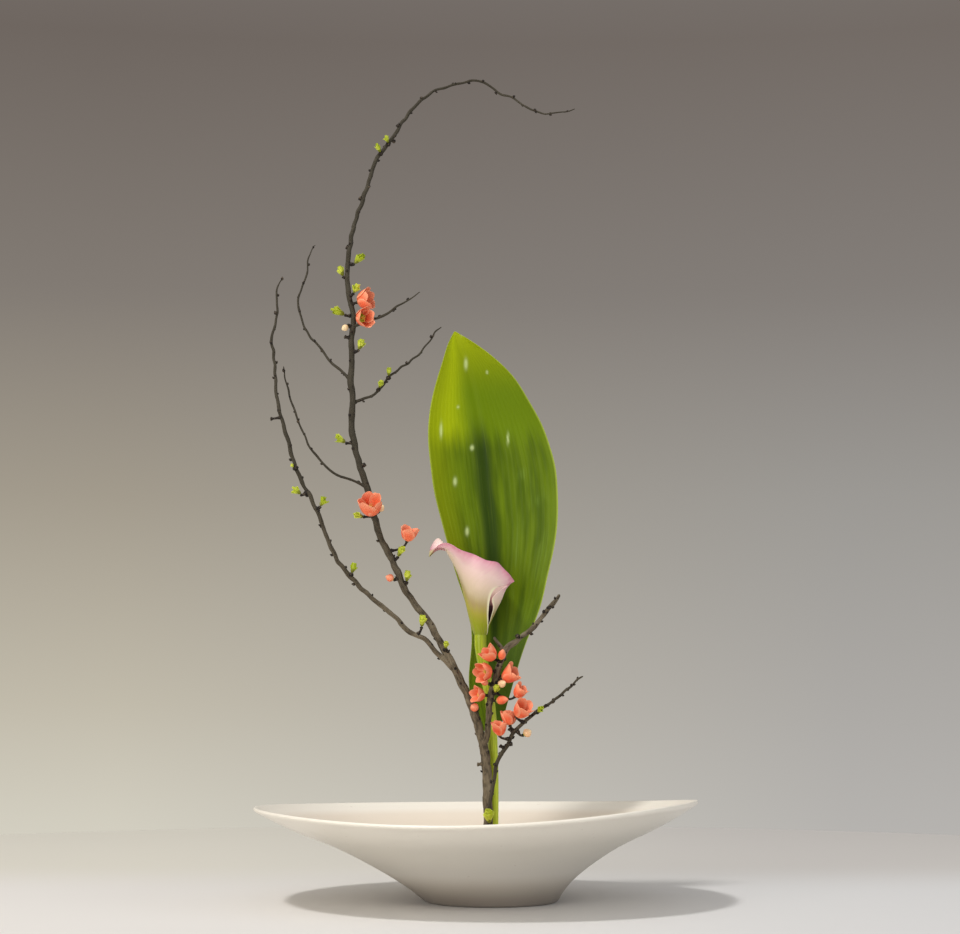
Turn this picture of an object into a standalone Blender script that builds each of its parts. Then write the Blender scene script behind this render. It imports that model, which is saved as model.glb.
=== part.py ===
"""Ikebana arrangement: quince branches, a calla and an aspidistra leaf in a wide bowl.

Frame: +Z up, +X to the viewer's right, the viewer looks along +Y.  The origin is on the
surface the bowl stands on, below the middle of the rim.  Lengths are in millimetres and
become metres when a mesh is made.
"""
import math

import bmesh
import bpy
import numpy as np
from mathutils import Vector

MM = 0.001
GAP = 0.35                      # clearance between pieces that touch

# Bowl
RIM_RADIUS = 196.5
RIM_HEIGHT = 80.4               # mean height; the rim is wavy
FOOT_SHIFT = 14.0               # the foot stands a little right of the rim's middle
FLOOR_HEIGHT = 7.5              # inner floor
BOWL_SEGMENTS = 56
OUTER_WALL = [(58.6, 1.0), (61.8, 4.0), (65.2, 7.6), (69.5, 12.0), (80.5, 20.8), (92.5, 28.6),
              (112.5, 40.8), (127.0, 49.8), (148.0, 56.6), (164.0, 63.4), (183.0, 72.3), (194.2, 77.4)]
INNER_WALL = [(192.6, 80.8), (181.0, 75.8), (162.0, 67.0), (146.0, 60.4), (124.5, 53.0),
              (110.0, 44.2), (90.0, 32.4), (76.0, 22.4), (64.0, 14.0), (53.0, 8.9)]
FOOT_RING = [(46.0, 3.0), (47.5, 0.0), (57.0, 0.0)]

# Pin holder
HOLDER_CENTRE = (12.5, 2.5)
HOLDER_RADIUS = 35.0
HOLDER_TOP = 17.5
RUBBER_WIDTH = 2.2
PIN_PLATE_TOP = HOLDER_TOP + GAP + 0.9
PIN_TIP = 32.0
PIN_PITCH = 6.0
PIN_WIDTH = 2.6
PIN_FIELD_RADIUS = 31.0
STEM_FOOT = PIN_PLATE_TOP + GAP      # cut stems stand on the plate between the pins

# Quince: each limb is (x, y, z, radius) along its middle line
LEADER = [(12, -2, STEM_FOOT, 3.87), (11, -2, 69, 4.23), (10, -2, 97, 4.41), (9, -3, 119, 4.32),
          (6, -4, 140, 4.14), (-2, -6, 166, 3.78), (-13, -9, 193, 3.6), (-25, -12, 217, 3.33),
          (-40, -16, 243, 3.06), (-59, -20, 268, 2.97), (-76, -25, 303, 2.97), (-90, -29, 335, 2.97),
          (-96, -31, 362, 2.97), (-104, -33, 391, 2.88), (-111, -34, 425, 2.88), (-112, -33, 461, 2.79),
          (-112, -31, 500, 2.61), (-113, -28, 531, 2.43), (-116, -24, 570, 2.16), (-111, -19, 601, 1.98),
          (-99, -9, 647, 1.8), (-82, 0, 686, 1.71), (-68, 7, 710, 1.57), (-53, 13, 731, 1.35),
          (-34, 18, 745, 1.17), (-17, 21, 751, 1.12), (1, 22, 754, 1.08), (18, 19, 744, 0.99),
          (37, 14, 734, 0.95), (56, 7, 720, 0.81), (73, 0, 717, 0.72), (91, -8, 718, 0.45)]
LEFT_LIMB = [(-16, -10, 198, 2.88), (-24, -13, 208, 2.79), (-47, -21, 231, 2.52), (-70, -29, 248, 2.43),
             (-95, -38, 269, 2.34), (-119, -47, 295, 2.25), (-134, -54, 327, 2.16), (-146, -60, 355, 2.16),
             (-160, -64, 385, 1.98), (-170, -66, 420, 1.71), (-175, -65, 445, 1.53), (-178, -61, 481, 1.35),
             (-179, -57, 502, 1.17), (-177, -53, 522, 0.99), (-176, -49, 543, 0.72), (-172, -47, 550, 0.54)]
RIGHT_STUB = [(6, -4, 135, 3.24), (9, -6, 144, 3.15), (11, -9, 155, 3.06), (12, -12, 173, 2.88),
              (16, -15, 191, 2.79), (21, -18, 208, 2.7), (26, -20, 220, 2.61), (46, -26, 236, 2.34),
              (62, -31, 254, 1.98), (74, -35, 269, 1.35)]
UPPER_LEFT_TWIG = [(-112, -33, 459, 1.35), (-124, -26, 473, 1.17), (-142, -15, 494, 1.08),
                   (-156, -5, 514, 0.99), (-163, 3, 536, 0.99), (-159, 10, 560, 0.9),
                   (-155, 15, 581, 0.72), (-149, 19, 596, 0.45)]
LOWER_LEFT_TWIG = [(-95, -31, 362, 1.26), (-114, -39, 368, 1.08), (-133, -47, 382, 0.99),
                   (-147, -52, 398, 0.99), (-157, -54, 421, 0.9), (-165, -52, 446, 0.81),
                   (-171, -47, 471, 0.54)]
RIGHT_TWIG = [(-111, -34, 441, 1.35), (-92, -24, 450, 1.17), (-81, -17, 463, 1.08), (-67, -8, 477, 0.99),
              (-50, 3, 493, 0.9), (-41, 10, 508, 0.72), (-32, 15, 518, 0.54)]
UPPER_RIGHT_TWIG = [(-112, -30, 509, 1.26), (-99, -33, 514, 1.08), (-80, -38, 520, 0.99),
                    (-62, -41, 531, 0.72), (-50, -42, 539, 0.45)]
STUB_SPUR = [(24, -19, 217, 1.8), (21, -22, 225, 1.62), (16, -25, 232, 1.17)]
BRANCH_LIMBS = [LEADER, LEFT_LIMB, RIGHT_STUB, UPPER_LEFT_TWIG, LOWER_LEFT_TWIG, RIGHT_TWIG,
                UPPER_RIGHT_TWIG, STUB_SPUR]
LOW_TWIG = [(12, -11, STEM_FOOT, 1.56), (12, -11, 45, 1.56), (12, -12, 80, 1.64), (16, -14, 107, 1.72),
            (22, -19, 129, 1.8), (32, -25, 147, 1.72), (47, -34, 161, 1.48), (59, -41, 170, 1.31),
            (74, -48, 181, 1.15), (88, -55, 194, 0.9), (93, -57, 197, 0.66)]

# Short dark spurs that carry nothing: where each one ends
BARE_SPURS = [(-118, -22, 585), (-107, -13, 633), (-73, 4, 707), (-75, 4, 690), (-118, -34, 500),
              (-98, -34, 385), (-180, -67, 421), (1, -5, 120), (36, -27, 234), (64, -33, 259)]
LOW_BARE_SPURS = [(29, -27, 152), (21, -23, 137), (32, -24, 138)]

# Leaf tufts: base point, direction, length of the leaflets, number of leaflets
BRANCH_TUFTS = [
    ((-88, -5, 677), (-0.5, -0.4, 0.9), 8, 3), ((-81, -3, 687), (-0.4, -0.3, 1.0), 7, 2),
    ((-110, -24, 569), (0.7, -0.2, 0.7), 11, 3), ((-120, -26, 557), (-0.4, -0.2, 0.9), 10, 3),
    ((-110, -33, 540), (0.5, -0.5, 0.8), 9, 2), ((-118, -33, 520), (-0.8, -0.3, 0.4), 12, 4),
    ((-105, -35, 488), (0.4, -0.4, 0.9), 10, 3), ((-116, -36, 404), (-0.8, -0.2, 0.5), 11, 4),
    ((-87, -25, 455), (0.4, -0.5, 0.9), 7, 2), ((-79, -18, 467), (0.1, -0.1, 1.0), 7, 2),
    ((-159, -66, 378), (-0.5, -0.4, 0.8), 4, 2), ((-153, -63, 355), (-0.7, -0.2, 0.7), 9, 3),
    ((-136, -58, 345), (0.4, -0.2, 0.9), 9, 2), ((-109, -46, 287), (0.2, -0.2, 1.0), 9, 3),
    ((-100, -34, 338), (-0.7, -0.5, 0.1), 9, 2), ((-69, -28, 303), (0.4, -0.3, 0.9), 10, 2),
    ((-62, -24, 281), (0.1, -0.3, 1.0), 9, 3), ((-48, -25, 241), (0.1, -0.2, 1.0), 10, 3),
    ((-27, -19, 222), (0.1, -0.6, 0.8), 7, 2), ((17, -21, 183), (0.2, -0.9, 0.5), 8, 4)]
LOW_TUFTS = [((54, -43, 166), (0.5, -0.8, 0.3), 7, 2), ((12, -15, 71), (-0.2, -0.9, 0.4), 10, 3)]

# Blossoms: base point, direction, width, height; and closed buds in the same form
BRANCH_BLOSSOMS = [
    ((-106, -31, 532), (0.9, -0.3, 0.25), 16, 14), ((-105, -37.5, 516), (0.7, -0.75, -0.05), 15, 14),
    ((-93, -37, 340), (-0.05, -0.7, 0.8), 18, 18), ((-61, -30, 317), (0.25, -0.3, 1.0), 14, 13),
    ((16, -24, 213), (-0.6, -0.4, 0.6), 13, 13), ((13, -21, 202), (-0.8, -0.5, -0.1), 15, 13),
    ((24, -18, 195), (0.7, -0.3, 0.5), 15, 15), ((35, -22, 180), (0.6, -0.3, 0.7), 11, 12),
    ((7, -15, 181), (-0.9, -0.5, 0.1), 12, 11)]
LOW_BLOSSOMS = [((36, -34, 163), (0.6, -0.5, 0.7), 15, 15), ((30, -26, 155), (-0.1, -0.1, 1.0), 12, 12),
                ((21, -27, 146), (-0.1, -0.4, 1.0), 12, 13)]
BRANCH_BUDS = [
    ((-73, -25, 283), (-0.8, -0.3, 0.3), 7, 8), ((-115, -33, 510), (-0.6, -0.3, -0.5), 6, 7),
    ((-86, -33, 343), (0.6, -0.2, 0.8), 6, 7), ((22, -24, 212), (0.2, -0.6, 0.9), 7, 11),
    ((18, -19, 176), (0.8, -0.4, 0.1), 8, 12), ((1, -12, 169), (-0.6, -0.7, 0.3), 8, 8),
    ((11, -18, 191), (-0.9, -0.4, 0.3), 6, 8), ((20, -21, 190), (0.6, -0.6, 0.2), 7, 9)]
LOW_BUDS = [((42, -24, 146), (0.85, -0.15, 0.5), 8, 8)]

# Calla: (x, y, z, radius) along the stem, then the funnel that opens above it
CALLA_STEM = [(15.3, 7, STEM_FOOT, 4.3), (15.8, 7, 69, 4.3), (15.8, 7, 106, 4.4), (15.2, 7, 132, 4.4),
              (14, 6, 159, 4.5), (11, 4, 186, 4.6), (6, 2, 211, 5), (4, 1, 226, 5.6),
              (4, 1, 236.5, 6)]
SPATHE_BASE = (4.0, 1.0, 237.0)
SPATHE_NECK_RADIUS = 5.6
SPATHE_CONE = 23.0              # how much the radius grows from the neck to the rim
SPATHE_WALL = 1.2
# Rim of the funnel: angle from +X towards +Y in degrees, radius, height above the base
SPATHE_RIM = [(-358, 27.0, 45.0), (-315, 25.0, 57.0), (-270, 24.0, 64.0), (-225, 33.0, 74.0),
              (-180, 45.0, 80.0), (-135, 33.0, 75.0), (-90, 24.0, 65.0), (-45, 24.0, 59.0),
              (0, 28.0, 45.0)]
SLIT_DEPTH = 42.0               # degrees the near margin is drawn back, lower down
SPADIX = [(4, 1, 237.6, 3), (4, 1, 251, 3.4), (5, 1, 267, 3.2), (5, 1, 277, 2.2), (5, 1, 281, 0.8)]

# Aspidistra: stalk, then the blade as (z, x, y of the midrib, width left, width right)
STALK_RADIUS = 2.8
STALK = [(STEM_FOOT, 13, 16), (69, 13, 17), (105, 13, 18)]
BLADE = [(135, 14, 19, 5, 6), (161, 14, 20, 13, 11), (186, 15, 22.5, 21, 17), (232, 17, 27, 21, 30),
         (259, 17, 30, 25, 41), (287, 16, 32.5, 33, 49), (318, 15, 34.5, 41, 57),
         (344, 13, 36, 46, 62), (369, 10, 37, 49, 65), (391, 8, 37, 50, 65), (410, 6, 36, 50, 62),
         (431, 3, 33.5, 47, 57), (452, -1, 29, 40, 49), (474, -6, 23, 29, 39), (489, -11, 17, 19, 28),
         (501, -16, 12.5, 10, 16.5), (512, -19.5, 9.5, 2, 3)]
BLADE_CUP = 0.10                # margins bend towards the viewer by this part of the width
BLADE_THICKNESS = 1.1


def clear_scene():
    for item in list(bpy.data.objects):
        bpy.data.objects.remove(item, do_unlink=True)


def material(name, colour, roughness, metallic=0.0):
    made = bpy.data.materials.new(name)
    made.use_nodes = True
    shader = made.node_tree.nodes["Principled BSDF"]
    shader.inputs["Base Color"].default_value = (*colour, 1.0)
    shader.inputs["Roughness"].default_value = roughness
    shader.inputs["Metallic"].default_value = metallic
    made.diffuse_color = (*colour, 1.0)
    return made


def add_object(name, solid, paint, smooth_angle=40.0):
    """A named object from a solid, which is (points in mm, faces)."""
    points, faces = solid
    mesh = bpy.data.meshes.new(name)
    mesh.from_pydata([Vector(point) * MM for point in points], [], faces)
    mesh.validate()
    mesh.shade_smooth()
    mesh.set_sharp_from_angle(angle=math.radians(smooth_angle))
    mesh.materials.append(paint)
    made = bpy.data.objects.new(name, mesh)
    bpy.context.scene.collection.objects.link(made)
    return made


def place(item, base, direction):
    """Turns the object's +Z to direction and moves its origin to base (mm)."""
    item.rotation_mode = "QUATERNION"
    item.rotation_quaternion = Vector(direction).to_track_quat("Z", "Y")
    item.location = Vector(base) * MM


def ring_faces(first, second, count):
    """Quads between two rings of count points; first lies below, counter-clockwise from +Z."""
    return [(first + k, first + (k + 1) % count, second + (k + 1) % count, second + k)
            for k in range(count)]


def stacked_rings(rings):
    """A closed solid from rings of equal size, capped flat at both ends."""
    count = len(rings[0])
    points = [point for ring in rings for point in ring]
    faces = []
    for level in range(len(rings) - 1):
        faces += ring_faces(level * count, (level + 1) * count, count)
    faces.append(tuple(reversed(range(count))))
    faces.append(tuple((len(rings) - 1) * count + k for k in range(count)))
    return points, faces


def circle(radius, height, count, phase=0.0):
    turns = [2 * math.pi * (k + phase) / count for k in range(count)]
    return [(radius * math.cos(turn), radius * math.sin(turn), height) for turn in turns]


def tube(route, sides):
    """A tapering tube along (x, y, z, radius) points; each ring is square to the route."""
    middles = [Vector(point[:3]) for point in route]
    rings = []
    side = Vector((1.0, 0.0, 0.0))
    for k, middle in enumerate(middles):
        along = middles[min(k + 1, len(middles) - 1)] - middles[max(k - 1, 0)]
        along.normalize()
        side = (side - along * side.dot(along)).normalized()
        up = along.cross(side)
        ring = []
        for j in range(sides):
            turn = 2 * math.pi * j / sides
            ring.append(tuple(middle + route[k][3] * (math.cos(turn) * side + math.sin(turn) * up)))
        rings.append(ring)
    return stacked_rings(rings)


def union(name, solids, paint):
    """One object from overlapping solids, joined by an exact Boolean."""
    body = add_object(name, solids[0], paint)
    others = bpy.data.collections.new(name + "_others")
    for number, solid in enumerate(solids[1:]):
        other = add_object(f"{name}_other_{number}", solid, paint)
        bpy.context.scene.collection.objects.unlink(other)
        others.objects.link(other)
    bpy.context.scene.collection.children.link(others)
    join = body.modifiers.new("join", "BOOLEAN")
    join.operation = "UNION"
    join.operand_type = "COLLECTION"
    join.solver = "EXACT"
    join.collection = others
    graph = bpy.context.evaluated_depsgraph_get()
    joined = bpy.data.meshes.new_from_object(body.evaluated_get(graph))
    joined.name = name
    body.modifiers.remove(join)
    body.data = joined
    for other in list(others.objects):
        bpy.data.objects.remove(other, do_unlink=True)
    bpy.data.collections.remove(others)
    return body


def nearest_on_limbs(limbs, target):
    """The point of the limbs' middle lines nearest to target, and the limb's radius there."""
    target = Vector(target)
    best = None
    for limb in limbs:
        for start, end in zip(limb, limb[1:]):
            low, high = Vector(start[:3]), Vector(end[:3])
            share = (target - low).dot(high - low) / (high - low).length_squared
            share = min(max(share, 0.0), 1.0)
            point = low.lerp(high, share)
            if best is None or (target - point).length < best[0]:
                best = ((target - point).length, point, start[3] + share * (end[3] - start[3]))
    return best[1], best[2]


def carried_base(limbs, entry):
    """Where a tuft or flower starts: outside its limb, even if its base lies close to it."""
    root, radius = nearest_on_limbs(limbs, entry[0])
    outward = Vector(entry[0]) - root
    if outward.length < radius + 1.6:
        outward = outward.normalized() * (radius + 1.6)
    return root + outward


def spur(limbs, tip):
    """A short tapering spur from the nearest limb out to tip."""
    root, _ = nearest_on_limbs(limbs, tip)
    return tube([(*root, 1.5), (*tip, 1.1)], 6)


def carrying_spurs(limbs, entries):
    """Spurs that end just short of the pieces they carry."""
    solids = []
    for entry in entries:
        base = carried_base(limbs, entry)
        inward = Vector(entry[1]).normalized()
        root, _ = nearest_on_limbs(limbs, base)
        bend, tip = base - inward * 2.2, base - inward * GAP
        solids.append(tube([(*root, 1.3), (*bend, 1.1), (*tip, 0.8)], 6))
    return solids


def rim_wave(turn):
    """Height of the rim above its mean: highest at +X, lowest at the near and far sides."""
    return (3.2 * math.cos(turn + math.radians(26)) + 4.05 * math.cos(2 * (turn + math.radians(8)))
            + 1.2 * math.cos(3 * (turn + math.radians(31))))


def bowl_ring(radius, height):
    """One ring of the bowl: shifted towards the foot's middle low down, wavy near the rim."""
    part = min(height / RIM_HEIGHT, 1.0)
    shift = FOOT_SHIFT * (1.0 - part) ** 2.2
    ring = []
    for x, y, z in circle(radius, height, BOWL_SEGMENTS):
        wave = rim_wave(math.atan2(y, x)) * part ** 3
        ring.append((x + shift, y, z + wave))
    return ring


def make_bowl(paint):
    """A wide bowl: recessed foot, flaring wall, rounded lip and a flat inner floor."""
    profile = FOOT_RING + OUTER_WALL + [(RIM_RADIUS, RIM_HEIGHT - 0.6), (195.2, RIM_HEIGHT + 1.0)]
    rings = [bowl_ring(radius, height) for radius, height in profile + INNER_WALL]
    rings.append(bowl_ring(44.0, FLOOR_HEIGHT))
    return add_object("bowl", stacked_rings(rings), paint)


def at_holder(ring):
    return [(x + HOLDER_CENTRE[0], y + HOLDER_CENTRE[1], z) for x, y, z in ring]


def make_holder(lead, brass, rubber):
    """Lead disc, rubber ring round it, and a brass plate with a field of pins."""
    bottom = FLOOR_HEIGHT + GAP
    profile = [(HOLDER_RADIUS - 1, bottom), (HOLDER_RADIUS, bottom + 1),
               (HOLDER_RADIUS, HOLDER_TOP - 1), (HOLDER_RADIUS - 1, HOLDER_TOP)]
    disc = [at_holder(circle(radius, height, 32)) for radius, height in profile]
    add_object("holder_base", stacked_rings(disc), lead)

    inner = HOLDER_RADIUS + GAP
    band = [(inner, bottom), (inner + RUBBER_WIDTH, bottom), (inner + RUBBER_WIDTH, HOLDER_TOP - 2),
            (inner, HOLDER_TOP - 2)]
    points = [point for radius, height in band for point in at_holder(circle(radius, height, 32))]
    faces = []
    for level in range(4):
        faces += ring_faces(level * 32, ((level + 1) % 4) * 32, 32)
    add_object("holder_rubber_ring", (points, faces), rubber)
    make_pins(brass)


def stem_near(x, y):
    """True where a cut stem stands, so that no pin is made there."""
    feet = [LEADER[0], CALLA_STEM[0], LOW_TWIG[0], (*STALK[0][1:], 0, STALK_RADIUS)]
    return any(math.hypot(x - foot[0], y - foot[1]) < foot[3] + PIN_WIDTH for foot in feet)


def make_pins(brass):
    """The pin plate: a grid of square cells inside a circle, with a pin on most of them."""
    mesh = bmesh.new()
    reach = int(PIN_FIELD_RADIUS / PIN_PITCH)
    corners = {}

    def corner(i, j, z):
        if (i, j, z) not in corners:
            x = HOLDER_CENTRE[0] + (i - 0.5) * PIN_PITCH
            y = HOLDER_CENTRE[1] + (j - 0.5) * PIN_PITCH
            corners[i, j, z] = mesh.verts.new((x, y, z))
        return corners[i, j, z]

    cells = {(i, j) for i in range(-reach, reach + 1) for j in range(-reach, reach + 1)
             if math.hypot(i, j) * PIN_PITCH <= PIN_FIELD_RADIUS - 0.5 * PIN_PITCH}
    low, high = HOLDER_TOP + GAP, PIN_PLATE_TOP
    for i, j in cells:
        around = [(i, j), (i + 1, j), (i + 1, j + 1), (i, j + 1)]
        mesh.faces.new([corner(a, b, low) for a, b in reversed(around)])
        for k, step in enumerate([(0, -1), (1, 0), (0, 1), (-1, 0)]):
            if (i + step[0], j + step[1]) not in cells:
                start, end = around[k], around[(k + 1) % 4]
                mesh.faces.new([corner(*start, low), corner(*end, low),
                                corner(*end, high), corner(*start, high)])
        edge = [corner(a, b, high) for a, b in around]
        middle = sum((vertex.co for vertex in edge), Vector()) / 4
        if stem_near(middle.x, middle.y):
            mesh.faces.new(edge)
            continue
        shrink = PIN_WIDTH / PIN_PITCH
        foot = [mesh.verts.new(middle + (vertex.co - middle) * shrink) for vertex in edge]
        tip = mesh.verts.new((middle.x, middle.y, PIN_TIP))
        for k in range(4):
            after = (k + 1) % 4
            mesh.faces.new([edge[k], edge[after], foot[after], foot[k]])
            mesh.faces.new([foot[k], foot[after], tip])
    data = bpy.data.meshes.new("holder_pins")
    bmesh.ops.scale(mesh, vec=(MM, MM, MM), verts=mesh.verts)
    mesh.to_mesh(data)
    mesh.free()
    data.materials.append(brass)
    made = bpy.data.objects.new("holder_pins", data)
    bpy.context.scene.collection.objects.link(made)


def make_quince(bark):
    """The large forked branch with its twigs and spurs, and the separate low twig."""
    carried = BRANCH_TUFTS + BRANCH_BLOSSOMS + BRANCH_BUDS
    limbs = [tube(limb, 8 if limb is LEADER else 6) for limb in BRANCH_LIMBS]
    spurs = [spur(BRANCH_LIMBS, tip) for tip in BARE_SPURS]
    union("quince_branch", limbs + spurs + carrying_spurs(BRANCH_LIMBS, carried), bark)
    carried = LOW_TUFTS + LOW_BLOSSOMS + LOW_BUDS
    spurs = [spur([LOW_TWIG], tip) for tip in LOW_BARE_SPURS]
    union("quince_low_twig", [tube(LOW_TWIG, 6)] + spurs + carrying_spurs([LOW_TWIG], carried), bark)


def leaflet(length, azimuth, tilt):
    """A small pointed leaf with a flat diamond section, leaning out from +Z."""
    rings = []
    for share, width in [(0.06, 0.08), (0.5, 0.26), (0.98, 0.04)]:
        half, thick = width * length, 0.32 * width * length
        out = share * length
        rings.append([(thick, 0, out), (0, half, out), (-thick, 0, out), (0, -half, out)])
    points, faces = stacked_rings(rings)
    lean, spin = math.radians(tilt), math.radians(azimuth)
    turned = []
    for x, y, z in points:
        x, z = x * math.cos(lean) + z * math.sin(lean), z * math.cos(lean) - x * math.sin(lean)
        turned.append((x * math.cos(spin) - y * math.sin(spin),
                       x * math.sin(spin) + y * math.cos(spin), z + 1.4))
    return turned, faces


def make_tufts(limbs, entries, prefix, green):
    """Young leaves that open in a small tuft at the end of a spur."""
    for number, entry in enumerate(entries, 1):
        _, direction, length, count = entry
        heart = stacked_rings([circle(1.0, 0.0, 5), circle(1.5, 1.4, 5), circle(0.7, 2.7, 5)])
        blades = [leaflet(length * (1 - 0.09 * k), 20 + 350 * k / count, 28 + 7 * k)
                  for k in range(count)]
        made = union(f"{prefix}_{number:02d}", [heart] + blades, green)
        place(made, carried_base(limbs, entry), direction)


def blossom(width, height):
    """A half-open flower: a thick cup whose rim has five rounded petals."""
    profile = [(0.20, 0.0), (0.66, 0.15), (1.0, 0.60), (0.88, 1.0), (0.74, 0.93), (0.58, 0.50),
               (0.22, 0.30)]
    rings = []
    for out, up in profile:
        ring = []
        for x, y, _ in circle(1.0, 0.0, 10):
            petal = math.cos(5 * math.atan2(y, x))
            radius = 0.5 * width * out * (1 + 0.10 * petal * up)
            ring.append((x * radius, y * radius, height * up * (1 - 0.10 * (1 - petal) * up)))
        rings.append(ring)
    return stacked_rings(rings)


def bud(width, height):
    """A closed bud: an egg shape, widest above its middle."""
    profile = [(0.16, 0.0), (0.34, 0.14), (0.5, 0.5), (0.36, 0.82), (0.1, 1.0)]
    return stacked_rings([circle(width * out, height * up, 7) for out, up in profile])


def make_flowers(limbs, entries, prefix, shape, paint):
    for number, entry in enumerate(entries, 1):
        _, direction, width, height = entry
        made = add_object(f"{prefix}_{number:02d}", shape(width, height), paint, 60.0)
        place(made, carried_base(limbs, entry), direction)


def between(table, value, column):
    return float(np.interp(value, [row[0] for row in table], [row[column] for row in table]))


def spathe_point(share, rise, inset):
    """A point of the funnel: share runs from the near margin (0) to the far one (1)."""
    drawn_back = SLIT_DEPTH * math.exp(-((rise - 0.30) / 0.17) ** 2)
    far_turn, near_turn = SPATHE_RIM[0][0], SPATHE_RIM[-1][0]
    near_turn = near_turn - drawn_back
    turn = near_turn + share * (far_turn - near_turn)
    rim_radius, rim_height = between(SPATHE_RIM, turn, 1), between(SPATHE_RIM, turn, 2)
    flare = rim_radius - SPATHE_NECK_RADIUS - SPATHE_CONE
    radius = SPATHE_NECK_RADIUS + SPATHE_CONE * rise + flare * rise ** 6 - inset
    angle = math.radians(turn)
    return (SPATHE_BASE[0] + radius * math.cos(angle), SPATHE_BASE[1] + radius * math.sin(angle),
            SPATHE_BASE[2] + rim_height * rise + inset * rise)


def make_calla(stem_green, cream, yellow):
    """Stem, the funnel-shaped spathe with a slit down its front, and the spadix inside."""
    add_object("calla_stem", tube(CALLA_STEM, 10), stem_green)
    add_object("calla_spadix", tube(SPADIX, 8), yellow)
    columns, rows = 28, 9
    shares = [k / columns for k in range(columns + 1)]
    rings = []
    for row in range(rows + 1):
        outer = [spathe_point(share, row / rows, 0.0) for share in shares]
        inner = [spathe_point(share, row / rows, SPATHE_WALL) for share in reversed(shares)]
        rings.append(list(reversed(outer + inner)))
    add_object("calla_spathe", stacked_strips(rings), cream, 60.0)


def stacked_strips(rings):
    """Like stacked_rings, but each end is closed with quads across a thin, folded outline."""
    points, faces = stacked_rings(rings)
    del faces[-2:]
    count = len(rings[0])
    top = (len(rings) - 1) * count
    for k in range(count // 2 - 1):
        quad = (k, k + 1, count - 2 - k, count - 1 - k)
        faces.append(tuple(reversed(quad)))
        faces.append(tuple(top + corner for corner in quad))
    return points, faces


def blade_ring(z, x, y, left, right):
    """Section of the blade: a thin lens whose margins bend towards the viewer."""
    steps = [-1.0, -0.7, -0.35, 0.0, 0.35, 0.7, 1.0]
    front, back = [], []
    for step in steps:
        width = right if step > 0 else left
        bend = BLADE_CUP * width * step * step
        half = 0.5 * BLADE_THICKNESS * (1.0 - 0.5 * abs(step))
        front.append((x + step * width, y - bend - half, z))
        back.append((x + step * width, y - bend + half, z))
    return front + list(reversed(back))


def stalk_ring(z, x, y):
    """Section of the stalk, with as many points as the blade's."""
    return [(x - STALK_RADIUS * math.cos(turn), y - STALK_RADIUS * math.sin(turn), z)
            for turn in [math.pi * (k + 0.5) / 7 for k in range(14)]]


def make_leaf(green):
    """One aspidistra leaf: a round stalk that widens into a long, slightly cupped blade."""
    rings = [stalk_ring(*point) for point in STALK] + [blade_ring(*row) for row in BLADE]
    add_object("aspidistra_leaf", stacked_strips(rings), green, 50.0)


def main():
    clear_scene()
    make_bowl(material("glazed_stoneware", (0.80, 0.76, 0.70), 0.35))
    make_holder(material("lead", (0.16, 0.16, 0.17), 0.6, 0.5),
                material("brass", (0.72, 0.55, 0.25), 0.35, 1.0),
                material("rubber", (0.05, 0.05, 0.05), 0.8))
    make_quince(material("quince_bark", (0.13, 0.09, 0.07), 0.85))
    green = material("young_leaf", (0.42, 0.55, 0.10), 0.5)
    coral = material("quince_petal", (0.90, 0.30, 0.22), 0.55)
    for limbs, prefix, tufts, blossoms, buds in [
            (BRANCH_LIMBS, "branch", BRANCH_TUFTS, BRANCH_BLOSSOMS, BRANCH_BUDS),
            ([LOW_TWIG], "low_twig", LOW_TUFTS, LOW_BLOSSOMS, LOW_BUDS)]:
        make_tufts(limbs, tufts, prefix + "_tuft", green)
        make_flowers(limbs, blossoms, prefix + "_blossom", blossom, coral)
        make_flowers(limbs, buds, prefix + "_bud", bud, coral)
    make_calla(material("calla_stem", (0.35, 0.48, 0.08), 0.4),
               material("calla_spathe", (0.85, 0.70, 0.62), 0.5),
               material("calla_spadix", (0.85, 0.62, 0.12), 0.6))
    make_leaf(material("aspidistra_leaf", (0.13, 0.30, 0.04), 0.4))


main()
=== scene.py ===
"""The looks of an ikebana arrangement: a wide bowl, a pin holder, quince, a calla and one leaf.

Lengths are in millimetres and become metres when a mesh is made.  The frame is the CAD
model's: +Z up, +X to the right seen from the front, the origin below the middle of the rim.
"""
import math

import bpy
import numpy as np
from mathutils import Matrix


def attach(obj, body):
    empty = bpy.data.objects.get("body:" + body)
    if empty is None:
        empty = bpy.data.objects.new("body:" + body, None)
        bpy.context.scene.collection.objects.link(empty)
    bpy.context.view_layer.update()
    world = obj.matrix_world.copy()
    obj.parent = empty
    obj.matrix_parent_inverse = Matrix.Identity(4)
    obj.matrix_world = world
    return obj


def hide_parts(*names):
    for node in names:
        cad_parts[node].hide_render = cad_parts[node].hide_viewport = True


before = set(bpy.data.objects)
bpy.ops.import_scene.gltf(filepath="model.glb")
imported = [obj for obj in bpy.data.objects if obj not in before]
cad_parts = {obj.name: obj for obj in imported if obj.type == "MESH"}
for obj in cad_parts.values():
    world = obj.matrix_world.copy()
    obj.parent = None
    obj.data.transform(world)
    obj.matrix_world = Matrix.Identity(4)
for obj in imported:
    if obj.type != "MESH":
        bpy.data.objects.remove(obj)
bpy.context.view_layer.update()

MM = 0.001
rng = np.random.default_rng(7)

# ---------------------------------------------------------------- bowl and pin holder

RIM_HEIGHT = 80.4
FOOT_SHIFT = 14.0
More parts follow.
